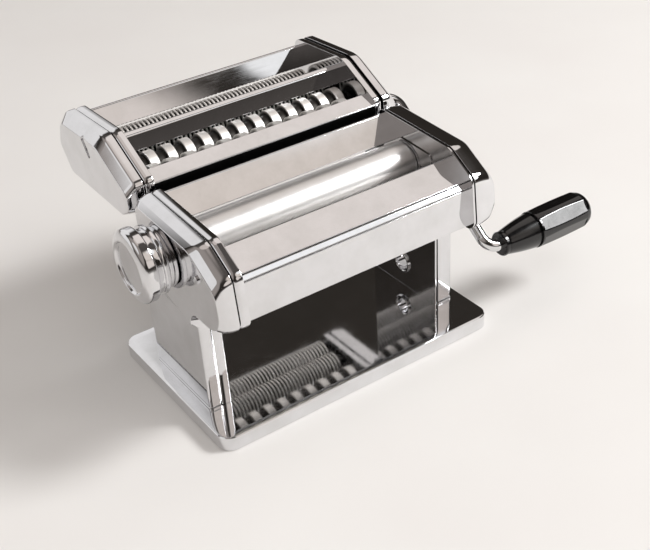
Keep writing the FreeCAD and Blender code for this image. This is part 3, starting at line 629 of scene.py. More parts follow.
def dressed(piece: Piece, material: Material, body: Body, *nodes: str) -> Piece:
    """Gives a piece its material and body and hides the nodes it stands for.

    Args:
        piece: The new piece.
        material: Its finish.
        body: The body it rides on.
        nodes: CAD nodes that it replaces.

    Returns:
        The same piece.
    """
    piece.data.materials.clear()
    piece.data.materials.append(material)
    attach(piece, body.value)
    if nodes:
        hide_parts(*nodes)
    LOG.info("%s: %d faces", piece.name, len(piece.data.polygons))
    return piece


@dataclass(frozen=True)
class SizeChart:
    """Sizes that several sub-assemblies share, in millimetres."""

    inner_face: float = 80.0
    seam: float = 86.0
    right_seam: float = 81.6
    seam_gap: float = 0.8
    neck_depth: float = 2.4
    outer_face: float = 98.0
    leg_face: float = 94.0
    leg_front: float = -35.7
    leg_back: float = 31.5
    foot: float = 10.0
    bevel: float = 4.0
    roller: Pair = (-6.4, 106.8)
    roller_radius: float = 14.0
    front_roller: Pair = (-6.4 - 32.6 * math.cos(math.radians(12.0)),
                          106.8 - 32.6 * math.sin(math.radians(12.0)))
    collar_radius: float = 12.6
    clamp: Pair = (-1.0, 28.0)
    clamp_radius: float = 7.0
    wide_y: float = 41.0
    fine_y: float = 82.5
    cutter_z: float = 127.0
    cutter_distance: float = 18.25
    drive_hole: float = 6.6
    socket: float = 7.1
    socket_start: float = 84.0
    drill_end: float = 103.0


def crowned_plate(start: float, end: float) -> np.ndarray:
    """Profile of a plate whose edge is crowned towards the seam at its end.

    The crown is flat at first and then drops with the square.

    Args:
        start: Place of the flat face.
        end: Place of the seam.

    Returns:
        Rows of inset and place.
    """
    width = end - start
    flat_share, drop_share, lip_share, hair = 0.45, 0.12, 0.22, 0.02
    share = np.linspace(0.12, 0.9, 7)
    drop = drop_share * width * np.clip((share - flat_share) / 0.5, 0.0, None) ** 2
    lip, face = lip_share * width, end - hair
    rows = [(2.0, start), (0.1, start), (hair, start + 0.15 * min(width, 2.0) / 2.0)]
    rows += [(float(inset), start + float(t) * width) for t, inset in zip(share, drop)]
    return np.array(rows + [(lip, face), (lip + 2.0, face)])


@dataclass(frozen=True)
class Cover:
    """A pressed side cover, whose outline at the seam turns into a smaller one at its outer face.

    Args:
        sizes: The shared sizes.
        near: The outline at the seam.
        far: The outline at the outer face.
        seam: Place of the seam.
        shoulder: Place where the bevel starts.
        crown: Share of the way to the far outline that is reached at the shoulder.
        places: Shares of the width at which the crown is sampled.
        rounding: Largest reach of the roundings.
    """

    sizes: SizeChart
    near: Outline
    far: Outline
    seam: float
    shoulder: float
    crown: float
    places: tuple[float, ...]
    rounding: float

    def build(self, name: str, side: Side) -> Piece:
        """Carries the outlines outwards behind a narrow neck.

        Args:
            name: The piece's name.
            side: The side to build.

        Returns:
            The piece.
        """
        start, face, depth = self.seam + self.sizes.seam_gap, self.sizes.outer_face, self.sizes.neck_depth
        width = self.shoulder - start
        profile = [(0.0, depth, self.seam - 0.3), (0.0, depth, start), (0.0, 0.1, start)]
        profile += [(self.crown * t ** 2, 0.0, start + width * t) for t in self.places]
        profile += [(1.0, 0.0, face), (1.0, 0.8, face)]
        rows = softened(profile, self.rounding, 5) * np.array([1.0, 1.0, side.value])
        return lofted(name, self.near, self.far, rows)

    def paint_neck_shade(self, piece: Piece, material: Material) -> None:
        """Paints shade on the neck behind the seam: gives it its own dark finish.

        Args:
            piece: The cover.
            material: The dark finish that stands for the shade in the seam.
        """
        piece.data.materials.append(material)
        middles = np.empty(len(piece.data.polygons) * 3)
        piece.data.polygons.foreach_get("center", middles)
        limit = self.seam + self.sizes.seam_gap + 0.02
        inside = np.abs(middles.reshape(-1, 3)[:, 0]) < limit * MM
        piece.data.polygons.foreach_set("material_index", inside.astype(np.int32))


def mirrored(profile: np.ndarray, side: Side) -> np.ndarray:
    """Returns a profile of insets and X places on the wanted side."""
    return profile * np.array([1.0, side.value])


@dataclass
class SubAssembly:
    """A group of pieces, with the sizes and finishes that all groups share."""

    sizes: SizeChart
    finishes: Finishes

    def fold(self, name: str, points: tuple[Pair, ...], sheet: Pair, body: Body, *nodes: str) -> Piece:
        """Carries the cross-section of a folded sheet from side to side and dresses it.

        Args:
            name: The piece's name without its ending.
            points: Y and Z of the folds.
            sheet: Thickness and outer radius of the folds.
            body: The body it rides on.
            nodes: CAD nodes that it replaces.

        Returns:
            The piece.
        """
        ends = np.array([(0.0, -self.sizes.inner_face), (0.0, self.sizes.inner_face)])
        piece = stacked(name + "_sheet", sheet_outline(points, *sheet), ends)
        return dressed(piece, self.finishes.chrome, body, *nodes)


@dataclass
class Stand(SubAssembly):
    """Base plate, legs and the head's side covers."""

    base: Triple = (205.0, 131.0, 10.0)
    base_corner: float = 9.0
    base_sheet: float = 1.2
    front_bevel: float = 1.0
    brow_bevel: float = 5.5
    chin_z: float = 84.0
    outer_radii: Triple = (14.0, 11.0, 16.0)
    crown: float = 0.28
    sleeve_bore: float = 6.0
    sleeve_rim: Pair = (7.8, 1.2)

    def head_corners(self, low: float, low_back: float) -> list[Triple]:
        """Corners of the head and leg outline, which starts at the given heights."""
        front, back, chin = self.sizes.leg_front, self.sizes.leg_back, self.chin_z
        return [(front, low, 0.3), (front, chin, 10.0), (-73.7, chin, 6.9), (-70.3, 118.4, 9.0),
                (-48.7, 131.5, 12.0), (21.3, 134.7, 5.5), (21.3, 112.0, 1.5), (back, 104.0, 1.5),
                (back, low_back, 0.3)]

    def build(self) -> None:
        """Builds the stand."""
        self.build_base()
        for side in Side:
            self.build_side(side)

    def build_base(self) -> None:
        """Base plate: a rounded rectangle carried down the rim and back up inside."""
        width, depth, height = self.base
        corner, t = (width / 2.0, depth / 2.0), self.base_sheet
        outline = rectangle((-corner[0], -corner[1]), corner, (self.base_corner,) * 2, 14)
        profile = [(t + 3.0, height - t), (t, height - t), (t, 0.4), (t * 0.7, 0.0), (t * 0.3, 0.0),
                   (0.0, 0.4), (0.0, height), (6.0, height)]
        piece = stacked("base_plate_pressed", outline, softened(profile, 1.5), "z")
        dressed(piece, self.finishes.chrome, Body.FRAME, "base_plate")

    def build_side(self, side: Side) -> None:
        """Side covers: plate, leg and head, with the seam where the photograph shows it.

        Args:
            side: The side to build.
        """
        s, chrome = self.sizes, self.finishes.chrome
        word = side.name.lower()
        seam = s.seam if side is Side.LEFT else s.right_seam
        whole = Outline(self.head_corners(s.foot, s.foot), 12)
        plate = stacked("side_plate_" + word, whole, mirrored(crowned_plate(s.inner_face, seam), side))
        leg = self.build_leg(side, seam)
        cover = self.head_cover(seam)
        head = cover.build("head_cover_" + word, side)
        if side is Side.RIGHT:
            for piece in (plate, leg):
                drilled(piece, bore(s.clamp, s.clamp_radius, s.inner_face - THROUGH, s.drill_end))
            drilled(head, bore(s.front_roller, s.drive_hole, s.leg_face, s.drill_end))
            self.build_sleeve()
        dressed(plate, chrome, Body.FRAME, "inner_panel_" + word)
        dressed(leg, chrome, Body.FRAME)
        dressed(head, chrome, Body.FRAME, "outer_panel_" + word)
        # Painted shade: the neck inside the seam gap gets the dark finish.
        cover.paint_neck_shade(head, self.finishes.painted_gap_shade)

    def build_sleeve(self) -> None:
        """Clamp sleeve: a tube through the right leg with a soft rim at both ends."""
        s, inner = self.sizes, self.sleeve_bore
        rim, height = self.sleeve_rim
        start, end = s.inner_face - height, s.leg_face + height
        half = [(start, inner + 0.5), (start, rim - 0.3), (start + 0.4, rim), (s.inner_face, rim),
                (s.inner_face, s.clamp_radius)]
        mirror = [(start + end - x, radius) for x, radius in half[::-1]]
        profile = np.array([(start + 0.5, inner), *half, *mirror, (end - 0.5, inner), (start + 0.5, inner)])
        piece = turned("clamp_sleeve_turned", profile, s.clamp, 72, (False, False))
        dressed(piece, self.finishes.chrome, Body.FRAME, "clamp_sleeve")

    def build_leg(self, side: Side, seam: float) -> Piece:
        """Leg cover: a channel with rounded upright edges and a small hem at its foot.

        Args:
            side: The side to build.
            seam: Where it meets the inner plate.

        Returns:
            The piece, whose top is hidden in the head.
        """
        s, slack = self.sizes, 0.03
        outline = rectangle(((seam + s.seam_gap) * side.value, s.leg_front + slack),
                            (s.leg_face * side.value, s.leg_back - slack), (0.4, 1.8), 8)
        profile = [(0.2, 9.0), (-0.5, 9.2), (-0.5, 10.9), (0.0, 11.9), (0.0, 80.0)]
        return stacked("leg_cover_" + side.name.lower(), outline, softened(profile, 0.4), "z")

    def head_cover(self, seam: float) -> Cover:
        """Head cover: its bevel is wide along the top and narrow in front, its lower edge fades into the leg.

        Args:
            seam: Where it meets the inner plate.

        Returns:
            The cover.
        """
        s = self.sizes
        top, front = s.bevel, self.front_bevel
        far = moved_corners(self.head_corners(75.0, 93.0),
                            [front, front, front, self.brow_bevel, top, top, front, front, 0.0])
        far[2:5] = [(y, z, radius) for (y, z, _), radius in zip(far[2:5], self.outer_radii)]
        return Cover(s, Outline(self.head_corners(69.5, 66.0), 16), Outline(far, 16), seam,
                     s.outer_face - s.bevel, self.crown, (0.03, 0.25, 0.5, 0.75, 1.0), 1.0)


@dataclass
class Decks(SubAssembly):
    """Folded sheets between the side covers, each given by the folds of its cross-section."""

    sheet: Pair = (1.2, 1.5)
    front_deck: tuple[Pair, ...] = ((-40.9, 117.4), (-41.8, 121.9), (-62.9, 114.3))
    front_strip: tuple[Pair, ...] = ((-63.6, 113.75), (-66.0, 111.4))
    front_apron: tuple[Pair, ...] = ((-66.0, 110.3), (-66.0, 84.3), (-60.0, 83.3))
    rear_deck: tuple[Pair, ...] = ((19.7, 110.2), (19.7, 134.2), (6.4, 116.5))

    def build(self) -> None:
        """Builds the decks, the front strip and the apron."""
        for name in ("front_deck", "front_strip", "front_apron", "rear_deck"):
            nodes = [] if name == "front_strip" else [name]
            self.fold(name, getattr(self, name), self.sheet, Body.FRAME, *nodes)


@dataclass
class SmoothRollers(SubAssembly):
    """The two smooth rollers, turned with collars at their ends, and the guides beside them."""

    half_length: float = 77.5
    left_end: float = -83.6
    collar_width: float = 2.2
    front_journal: Pair = (6.0, 96.4)
    rear_journal: Pair = (5.0, 92.5)
    guide: tuple[Triple, ...] = ((-32.6, 110.0, 0.4), (-32.6, 118.0, 0.8), (-31.2, 120.5, 0.8),
                                 (-1.9, 122.3, 0.8), (-1.9, 110.0, 0.4))
    guide_sheet: float = 0.9
    guide_edge: float = 0.15
    guide_free: float = 0.5
    travel: Pair = (-4.11, -0.88)

    def build(self) -> None:
        """Turns each roller from one profile of places and radii, and adds the guides."""
        s = self.sizes
        self.build_roller("front_roller", Body.FRONT_ROLLER, s.front_roller, self.front_journal)
        self.build_roller("rear_roller", Body.REAR_ROLLER, s.roller, self.rear_journal)
        for side in Side:
            self.build_guide(side)

    def build_roller(self, node: str, body: Body, centre: Pair, journal: Pair) -> None:
        """Turns a roller, and cuts the front one's socket for the crank.

        Args:
            node: The CAD node that it replaces.
            body: The body it rides on.
            centre: Y and Z of its axis.
            journal: Radius and right end of its journals.
        """
        s = self.sizes
        h, c, (radius, end) = self.half_length, s.collar_radius, journal
        collar = h + self.collar_width
        profile = [(self.left_end, 0.0), (self.left_end, radius), (-collar, radius), (-collar, c), (-h, c),
                   (-h, s.roller_radius), (h, s.roller_radius), (h, c), (collar, c), (collar, radius),
                   (end, radius), (end, 0.0)]
        piece = turned(node + "_turned", softened(profile, 0.5), centre, 128)
        if body is Body.FRONT_ROLLER:
            drilled(piece, square_bore(centre, s.socket, s.socket_start, end + THROUGH))
        dressed(piece, self.finishes.satin, body, node)

    def build_guide(self, side: Side) -> None:
        """Guide: a thin plate beside the dough, hollowed round both rollers and the rear one's travel.

        Args:
            side: The side to build.
        """
        s, sign = self.sizes, side.value
        outer, inner = s.inner_face * sign, (s.inner_face - self.guide_sheet) * sign
        profile = np.array([(self.guide_edge, inner), (0.0, inner + self.guide_edge * sign), (0.0, outer)])
        piece = stacked("dough_guide_" + side.name.lower(), Outline(list(self.guide), 4), profile)
        ends = sorted((inner - THROUGH * sign, outer + THROUGH * sign))
        y, z = s.roller
        places = [(y + t * self.travel[0], z + t * self.travel[1]) for t in (0.0, 0.5, 1.0)]
        free = s.collar_radius + self.guide_free
        drilled(piece, *[bore(place, free, *ends) for place in (*places, s.front_roller)])
        dressed(piece, self.finishes.chrome, Body.FRAME)


@dataclass
class Adjuster(SubAssembly):
    """Knob and index plate, each given by rows of distance outwards and radius."""

    plate: tuple[Pair, ...] = ((0.0, 0.0), (0.0, 18.5), (2.7, 18.5), (2.7, 0.0))
    knob_start: float = 3.3
    knob: tuple[Pair, ...] = (
        (0.0, 0.0), (0.0, 20.2), (0.8, 21.0), (3.2, 21.0), (3.2, 19.3), (7.2, 19.3), (7.2, 21.5),
        (8.2, 22.5), (13.6, 22.5), (15.5, 20.6), (16.7, 17.2), (16.7, 16.0), (15.0, 15.2), (15.0, 0.0))

    def build(self) -> None:
        """Turns the knob and the plate behind it."""
        face, chrome = -self.sizes.outer_face, self.finishes.chrome
        piece = self.turn("knob_turned", self.knob, face - self.knob_start, 1.2)
        dressed(piece, chrome, Body.KNOB, "knob")
        piece = self.turn("index_plate_turned", self.plate, face, 0.8)
        dressed(piece, chrome, Body.FRAME, "index_plate")

    def turn(self, name: str, rows: tuple[Pair, ...], start: float, rounding: float) -> Piece:
        """Turns rows about the rear roller's axis.

        Args:
            name: The piece's name.
            rows: Distance outwards and radius.
            start: Where the distance is 0.
            rounding: Largest reach of the roundings.

        Returns:
            The piece.
        """
        profile = softened([(start - out, radius) for out, radius in rows], rounding)
        return turned(name, profile, self.sizes.roller, 128)


@dataclass
class CuttingAttachment(SubAssembly):
    """Caps, guards and the four cutter rollers at the back."""

    ridge: float = 10.2
    groove: float = 7.8
    length: float = 150.0
    cutter_start: float = -82.6
    drive_journal: Pair = (6.0, 95.4)
    plain_journal: Pair = (4.0, 89.0)
    cap: tuple[Triple, ...] = ((24.5, 121.0, 5.5), (24.5, 137.6, 5.5), (60.0, 156.3, 20.0),
                               (114.0, 154.1, 5.5), (121.97, 134.0, 5.5), (108.0, 115.0, 7.0),
                               (36.0, 114.2, 5.5))
    outer_radii: tuple[float, ...] = (5.0, 6.0, 26.0, 8.0, 6.0, 7.0, 5.5)
    cap_bevel: float = 6.2
    crown: float = 0.04
    slot: tuple[float, float, float, float] = (14.0, 4.0, 1.4, 57.0)
    slot_centre: Pair = (76.2, 144.4)
    sheet: Pair = (1.0, 1.8)
    front_guard: tuple[Pair, ...] = ((25.5, 121.0), (25.5, 134.2), (35.6, 138.3))
    divider: tuple[Pair, ...] = ((76.1, 136.5), (73.4, 147.0), (71.6, 147.9), (68.6, 146.3), (65.7, 136.5))
    back_guard: tuple[Pair, ...] = ((120.4, 134.0), (113.5, 152.5), (105.9, 136.8))
    # Y and Z limits of the front guard's skirt that gets painted shade.
    skirt: Pair = (26.0, 134.0)

    def build(self) -> None:
        """Builds the caps, guards and cutters."""
        cover = self.cap_cover()
        for side in Side:
            self.build_cap(side, cover)
        self.build_guards()
        wide, fine, step = self.sizes.wide_y, self.sizes.fine_y, self.sizes.cutter_distance
        self.build_cutter("wide_cutter_front", Body.WIDE_FRONT, wide, 12, 0.0, 0.15)
        self.build_cutter("wide_cutter_rear", Body.WIDE_REAR, wide + step, 12, 0.5, 0.15)
        self.build_cutter("fine_cutter_front", Body.FINE_FRONT, fine, 50, 0.0, 0.2)
        self.build_cutter("fine_cutter_rear", Body.FINE_REAR, fine + step, 50, 0.5, 0.2)

    def cap_cover(self) -> Cover:
        """Returns the cap's cover, which has a wide round bevel."""
        s = self.sizes
        far = moved_corners(list(self.cap), [2.0, self.cap_bevel, self.cap_bevel, 4.0, 1.5, 1.0, 1.0])
        far = [(y, z, radius) for (y, z, _), radius in zip(far, self.outer_radii)]
        return Cover(s, Outline(list(self.cap), 14), Outline(far, 14), s.seam,
                     s.outer_face - self.cap_bevel * 0.9, self.crown, (0.03, 0.3, 0.65, 1.0), 2.0)

    def build_cap(self, side: Side, cover: Cover) -> None:
        """Caps: an inner plate and a cover.

        Args:
            side: The side to build.
            cover: The cover's form.
        """
        s, chrome = self.sizes, self.finishes.chrome
        word = side.name.lower()
        profile = mirrored(crowned_plate(s.inner_face, s.seam), side)
        piece = stacked("cap_plate_" + word, cover.near, profile)
        dressed(piece, chrome, Body.ATTACHMENT, "cap_inner_" + word)
        piece = cover.build("cap_cover_" + word, side)
        if side is Side.RIGHT:
            drilled(piece, *[bore((y, s.cutter_z), s.drive_hole, s.leg_face, s.drill_end)
                             for y in (s.wide_y, s.fine_y)])
        else:
            drilled(piece, self.slot_tool())
        dressed(piece, chrome, Body.ATTACHMENT, "cap_outer_" + word)
        # Painted shade: the neck inside the seam gap gets the dark finish.
        cover.paint_neck_shade(piece, self.finishes.painted_gap_shade)

    def slot_tool(self) -> Piece:
        """Returns the tool for the slanted slot pressed into the left cap."""
        length, width, depth, angle = self.slot
        along = np.array([math.cos(math.radians(angle)), math.sin(math.radians(angle))]) * (length / 2.0)
        across = np.array([-along[1], along[0]]) * (width / length)
        middle = np.array(self.slot_centre)
        corners = [middle + a * along + b * across for a, b in ((-1, -1), (1, -1), (1, 1), (-1, 1))]
        outline = Outline([(*corner, width / 2.0 - 0.01) for corner in corners], 10)
        face = self.sizes.outer_face
        return stacked("slot_tool", outline, np.array([(0.0, -face - THROUGH), (0.0, -face + depth)]))

    def build_guards(self) -> None:
        """Guards: folded sheets, the front one with painted shade on its skirt, a dark finish where the gap
        in front of it lies in shade.
        """
        for node in ("front_guard", "divider", "back_guard"):
            piece = self.fold(node, getattr(self, node), self.sheet, Body.ATTACHMENT, node)
            if node == "front_guard":
                # Painted shade: faces of the skirt in front of and below these limits get the dark finish.
                piece.data.materials.append(self.finishes.painted_gap_shade)
                for polygon in piece.data.polygons:
                    y, z = polygon.center[1:]
                    polygon.material_index = int(y < self.skirt[0] * MM and z < self.skirt[1] * MM)

    def build_cutter(self, node: str, body: Body, y: float, count: int, shift: float,
                     side_gap: float) -> None:
        """Turns a cutter roller whose ridges have crisp small chamfers.

        Args:
            node: The CAD node that it replaces.
            body: The body it rides on.
            y: Y of its axis.
            count: Number of ridges.
            shift: Share of a pitch by which the ridges are moved.
            side_gap: Side clearance of a ridge in the partner's groove.
        """
        half = self.length / 2.0
        pitch = self.length / count
        ridge = pitch / 2.0 - side_gap
        edge = min(0.25, ridge * 0.12)
        middle = -half + pitch * (np.arange(count) + 0.25 + shift)
        side = ridge / 2
        offsets = np.array([-side, -side, edge - side, side - edge, side, side])
        radii = np.array([self.groove, self.ridge - edge, self.ridge])
        teeth = np.stack([(middle[:, None] + offsets).ravel(), np.tile([*radii, *radii[::-1]], count)], 1)
        start, small = self.cutter_start, self.plain_journal[0]
        drive = "front" in node
        journal, end = self.drive_journal if drive else self.plain_journal
        head = np.array([(start, 0.0), (start, small), (-half, small), (-half, self.groove)])
        tail = np.array([(half, self.groove), (half, journal), (end, journal), (end, 0.0)])
        centre = (y, self.sizes.cutter_z)
        piece = turned(node + "_turned", np.concatenate([head, teeth, tail]), centre, 64)
        if drive:
            drilled(piece, square_bore(centre, self.sizes.socket, self.sizes.socket_start, end + THROUGH))
        self.mark_ridges(piece, centre)
        dressed(piece, self.finishes.cutter, body, node)

    def mark_ridges(self, piece: Piece, centre: Pair) -> None:
        """Stores how far each vertex stands out of the grooves, from 0 to 1.

        Args:
            piece: The cutter roller.
            centre: Y and Z of its axis.
        """
        points = np.empty(len(piece.data.vertices) * 3)
        piece.data.vertices.foreach_get("co", points)
        place = points.reshape(-1, 3)[:, 1:] / MM - np.array(centre)
        radius = np.linalg.norm(place, axis=1)
        share = np.clip((radius - self.groove) / (self.ridge - 0.4 - self.groove), 0.0, 1.0)
        piece.data.attributes.new(RIDGE_SHARE, "FLOAT", "POINT").data.foreach_set("value", share)


@dataclass
class Crank(SubAssembly):
    """Bent rod with its square tip, and the grip."""

    radius: float = 4.0
    plane: float = 108.5
    low: Pair = (-55.5, 52.0)
    bend: float = 9.0
    tip: Triple = (84.0, 95.6, 3.5)
    grip_start: float = 118.0
    grip_length: float = 76.0
    neck_length: float = 27.0
    neck_radius: float = 8.2
    barrel_radius: float = 12.6
    barrel_bulge: float = 0.3
    flats: int = 6
    flat_distance: float = 12.9 - 0.95
    flat_turn: float = 0.35

    def corners(self) -> tuple[np.ndarray, np.ndarray]:
        """Returns the sharp corners of the rod's middle line."""
        top = np.array([self.plane, self.sizes.wide_y, self.sizes.cutter_z])
        return top, np.array([self.plane, *self.low])

    def path(self) -> np.ndarray:
        """Returns the rod's middle line: straight runs joined by round bends, from the tip to the grip."""
        top, low = self.corners()
        arm = (low - top) / np.linalg.norm(low - top)
        along = np.array([1.0, 0.0, 0.0])
        made = [np.array([self.tip[1] - 0.6, *top[1:]])]
        share = np.linspace(0.0, math.pi / 2.0, 16)[:, None]
        for corner, come, go in ((top, along, arm), (low, arm, along)):
            reach = go * self.bend
            centre = corner - come * self.bend + reach
            made += list(centre - reach * np.cos(share) + come * self.bend * np.sin(share))
        made.append(np.array([self.grip_start + self.grip_length - 8.0, *self.low]))
        return np.array(made)

    def build(self) -> None:
        """Carries a circle along the path, adds the square tip and turns the grip."""
        path = self.path()
        tangent = np.gradient(path, axis=0)
        tangent /= np.linalg.norm(tangent, axis=1, keepdims=True)
        top, low = self.corners()
        side = np.cross((low - top) / np.linalg.norm(low - top), [1.0, 0.0, 0.0])
        other = np.cross(tangent, side)
        angle = np.linspace(0.0, 2.0 * math.pi, 40, endpoint=False)[None, :, None]
        ring = side * np.cos(angle) + other[:, None] * np.sin(angle)
        piece = grid_mesh("crank_rod_bent", path[:, None] + ring * self.radius)
        dressed(piece, self.finishes.chrome, Body.CRANK, "crank_rod")
        start, end, half = self.tip
        outline = square(top[1:], half, 0.4, 4)
        profile = [(1.2, start), (0.0, start + 0.8), (0.0, end), (0.6, end)]
        piece = stacked("crank_tip_square", outline, softened(profile, 0.2))
        dressed(piece, self.finishes.plated, Body.CRANK)
        self.build_grip()

    def build_grip(self) -> None:
        """Grip: a bulged profile whose radius is cut by six long flats.

        The radius at an angle is the smaller of the profile's radius and the distance to the
        nearest flat divided by the cosine of the angle from its middle.
        """
        x0, length = self.grip_start, self.grip_length
        neck, end = x0 + self.neck_length, x0 + length
        barrel, shoulder = neck + 1.2, end - 7.0
        inner, outer, bulge = self.neck_radius, self.barrel_radius, self.barrel_bulge
        cone_start, cone_end = x0 + 3.4, neck - 0.8
        collar = [(x0, 0.0), (x0, 7.6), (x0 + 0.7, 8.3), (x0 + 2.6, 8.3), (x0 + 3.0, 8.0),
                  (cone_start, inner)]
        cone = [(cone_start + (cone_end - cone_start) * t, inner + 3.8 * t + 0.35 * math.sin(math.pi * t))
                for t in np.linspace(0.05, 1.0, 12)]
        groove = [(neck, 11.6), (neck, 11.2), (barrel, 11.2), (barrel, 12.3), (barrel + 0.4, outer)]
        body = [(barrel + 1.5 + (shoulder - barrel - 1.5) * t, outer + bulge * math.sin(math.pi * t))
                for t in (0.0, 0.004, *np.linspace(0.05, 0.95, 14), 0.996, 1.0)]
        dome = [(end - back, radius) for back, radius in (
            (6.9, 12.55), (6.6, 11.9), (4.6, 11.8), (3.1, 11.2), (1.8, 10.0), (0.7, 8.6), (0.0, 7.2),
            (0.0, 6.2), (0.5, 6.0), (0.5, 0.0))]
        rows = np.array(collar + cone + groove + body + dome)
        angle = np.linspace(0.0, 2.0 * math.pi, 180, endpoint=False)
        sector = 2.0 * math.pi / self.flats
        local = (angle - self.flat_turn * sector + sector / 2.0) % sector - sector / 2.0
        on_flat = (rows[:, 0] > barrel + 1.6) & (rows[:, 0] < shoulder - 0.05)
        plain = rows[:, 1][:, None]
        flat = self.flat_distance / np.cos(local)[None]
        radius = np.where(on_flat[:, None], np.minimum(plain, flat), plain)
        y = self.low[0] + radius * np.cos(angle)
        z = self.low[1] + radius * np.sin(angle)
        x = np.broadcast_to(rows[:, 0][:, None], radius.shape)
        piece = grid_mesh("grip_moulded", np.stack([x, y, z], -1))
        dressed(piece, self.finishes.black, Body.GRIP, "grip", "grip_plug")


@dataclass(frozen=True)
class SkyPanel:
    """A round bright patch of the world with a soft edge.

    Its place is an azimuth from +Y towards +X and an elevation, in degrees.
    """

    azimuth_deg: float
    elevation_deg: float
    radius_deg: float
    edge_deg: float
    colour: str
    gain: float = 1.0

    def build(self, nodes: Nodes, under: Socket) -> Socket:
        """Lays the patch over a colour.

        Args:
            nodes: The world's tree.
            under: The colour so far.

        Returns:
            The colour with the patch.
        """
        azimuth, elevation = math.radians(self.azimuth_deg), math.radians(self.elevation_deg)
        centre = (math.sin(azimuth) * math.cos(elevation), math.cos(azimuth) * math.cos(elevation),
                  math.sin(elevation))
        dot = nodes.add("ShaderNodeVectorMath", {0: nodes.place, 1: centre}, operation="DOT_PRODUCT")
        outer, inner = (math.cos(math.radians(self.radius_deg + edge)) for edge in (self.edge_deg, 0.0))
        share = nodes.mapped(dot.outputs["Value"], (outer, inner), ease="SMOOTHSTEP")
        light = tuple(level * self.gain for level in hex_to_linear(self.colour)[:3])
        return nodes.mix(share, under, (*light, 1.0))


@dataclass(frozen=True)
class Lamp:
    """A square lamp that points at the middle of the machine, in metres and watts."""

    name: str
    place: Triple
    size: float
    power: float
    mirrored: bool
    target: Triple = (0.0, 0.02, 0.08)

    def build(self) -> None:
        """Makes the lamp, which the plating shows only where mirrored is set."""
        lamp = bpy.data.lights.new(self.name, "AREA")
        lamp.shape = "SQUARE"
        lamp.size = self.size
        lamp.energy = self.power
        holder = bpy.data.objects.new(self.name, lamp)
        holder.visible_glossy = self.mirrored
        holder.location = self.place
        aim = Vector(self.target) - Vector(self.place)
        holder.rotation_euler = aim.to_track_quat("-Z", "Y").to_euler()
        bpy.context.scene.collection.objects.link(holder)


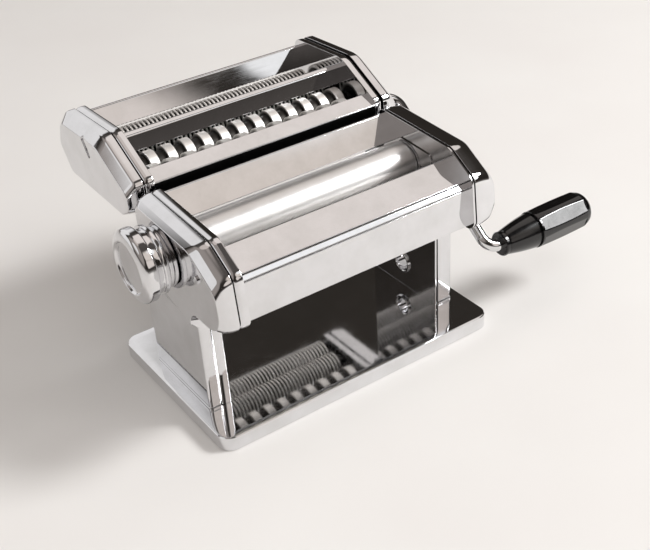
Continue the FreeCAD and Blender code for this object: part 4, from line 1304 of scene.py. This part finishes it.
@dataclass
class Studio:
    """Floor, lights, world and camera."""

    floor_half: float = 4.0
    floor: MattPaint = MattPaint("floor_matt_paint", ((0.3, "#E6E3E0"), (0.7, "#E9E7E4")), 500.0 / 3.0)
    sky_tones: Tones = (
        (0.0, "#A9A5A1"), (0.05, "#5B5653"), (0.16, "#2C2825"), (0.6, "#34302C"), (1.0, "#5C5754"))
    lens_px: float = 1101.1
    eye_mm: Triple = (-309.87, -506.05, 432.27)
    azimuth_deg: float = 33.46
    elevation_deg: float = 34.91
    roll_deg: float = -3.63
    centre_px: Pair = (337.3, 313.4)
    panels: tuple[SkyPanel, ...] = (
        SkyPanel(-100.0, 48.0, 32.0, 16.0, "#A09893"),
        SkyPanel(40.0, 82.0, 12.0, 4.0, "#D8CDC6"),
        SkyPanel(64.0, 57.0, 16.5, 3.5, "#F6EDE7"),
        SkyPanel(-84.0, 38.0, 14.0, 4.0, "#F5F3F2"),
        SkyPanel(150.0, 42.0, 8.5, 9.0, "#EADFD6"),
        SkyPanel(135.0, 47.0, 7.5, 4.0, "#FFFFFF", 1.15),
        SkyPanel(166.0, 22.0, 9.0, 4.0, "#EDE3DC"),
        SkyPanel(-2.0, 28.0, 20.0, 4.8, "#F5F3F2"),
        SkyPanel(-27.0, 14.0, 12.0, 3.0, "#F5F3F2"),
        SkyPanel(-48.0, 6.0, 15.0, 3.0, "#F5F3F2"),
        SkyPanel(142.5, 24.5, 6.6, 0.6, "#FFFFFF", 1.1),
        SkyPanel(134.5, 28.6, 3.8, 1.0, "#FFFFFF", 11.0))
    lamps: tuple[Lamp, ...] = (
        Lamp("key_panel", (1.77, -1.02, 1.84), 0.7, 56.0, True),
        Lamp("fill_panel", (-0.6, -1.6, 2.2), 2.2, 22.0, False))

    def build(self) -> None:
        """Builds the studio."""
        self.build_floor()
        self.build_world()
        for lamp in self.lamps:
            lamp.build()
        self.build_camera()

    def build_floor(self) -> None:
        """A large plain floor in a pale matt paint."""
        mesh = bpy.data.meshes.new("studio_floor")
        h = self.floor_half
        mesh.from_pydata([(-h, -h, 0), (h, -h, 0), (h, h, 0), (-h, h, 0)], [], [(0, 1, 2, 3)])
        floor = bpy.data.objects.new("studio_floor", mesh)
        bpy.context.scene.collection.objects.link(floor)
        mesh.materials.append(self.floor.build())

    def build_world(self) -> None:
        """World: a dim room with soft bright panels, which the plating shows as light and dark zones."""
        world = bpy.data.worlds.new("studio_world")
        bpy.context.scene.world = world
        world.use_nodes = True
        nodes = Nodes(world.node_tree, "Generated")
        height = nodes.add("ShaderNodeSeparateXYZ", {"Vector": nodes.place}).outputs["Z"]
        colour = nodes.ramp(height, self.sky_tones)
        for panel in self.panels:
            colour = panel.build(nodes, colour)
        back = nodes.add("ShaderNodeBackground", {"Color": colour, "Strength": 1.0})
        nodes.add("ShaderNodeOutputWorld", {"Surface": back.outputs["Background"]})

    def build_camera(self) -> None:
        """Camera at the photograph's place, with its focal length and principal point."""
        data = bpy.data.cameras.new("photo_camera")
        data.sensor_width = SENSOR_WIDTH
        data.lens = self.lens_px * SENSOR_WIDTH / IMAGE_WIDTH
        data.shift_x = (IMAGE_WIDTH / 2.0 - self.centre_px[0]) / IMAGE_WIDTH
        data.shift_y = (self.centre_px[1] - IMAGE_HEIGHT / 2.0) / IMAGE_WIDTH
        data.clip_start = 0.01
        camera = bpy.data.objects.new("photo_camera", data)
        turn = (Matrix.Rotation(math.radians(-self.azimuth_deg), 4, "Z")
                @ Matrix.Rotation(math.radians(90.0 - self.elevation_deg), 4, "X")
                @ Matrix.Rotation(math.radians(self.roll_deg), 4, "Z"))
        camera.matrix_world = Matrix.Translation(Vector(self.eye_mm) * MM) @ turn
        bpy.context.scene.collection.objects.link(camera)
        bpy.context.scene.camera = camera


def dress_cad_nodes(finishes: Finishes) -> None:
    """Gives each CAD node that stays its finish.

    Args:
        finishes: The machine's finishes.
    """
    plated = ("base_screws", "support_bar", "front_tie_rod", "adjuster_spindle", "hook_plates",
              "front_roller_gear", "rear_roller_gear", "wide_gear_front", "wide_gear_rear",
              "fine_gear_front", "fine_gear_rear")
    acetal = ("roller_bushes", "bearing_blocks", "cutter_bushes", "front_scraper", "rear_scraper")
    for name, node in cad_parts.items():
        other = finishes.acetal if name in acetal else finishes.chrome
        node.data.materials.clear()
        node.data.materials.append(finishes.plated if name in plated else other)


def main() -> None:
    """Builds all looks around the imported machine."""
    logging.basicConfig(level=logging.INFO)
    bpy.context.scene.view_settings.view_transform = "Standard"
    sizes = SizeChart()
    finishes = Finishes()
    dress_cad_nodes(finishes)
    for kind in (Stand, Decks, SmoothRollers, Adjuster, CuttingAttachment, Crank):
        kind(sizes, finishes).build()
    Studio().build()


if __name__ == "__main__":
    main()
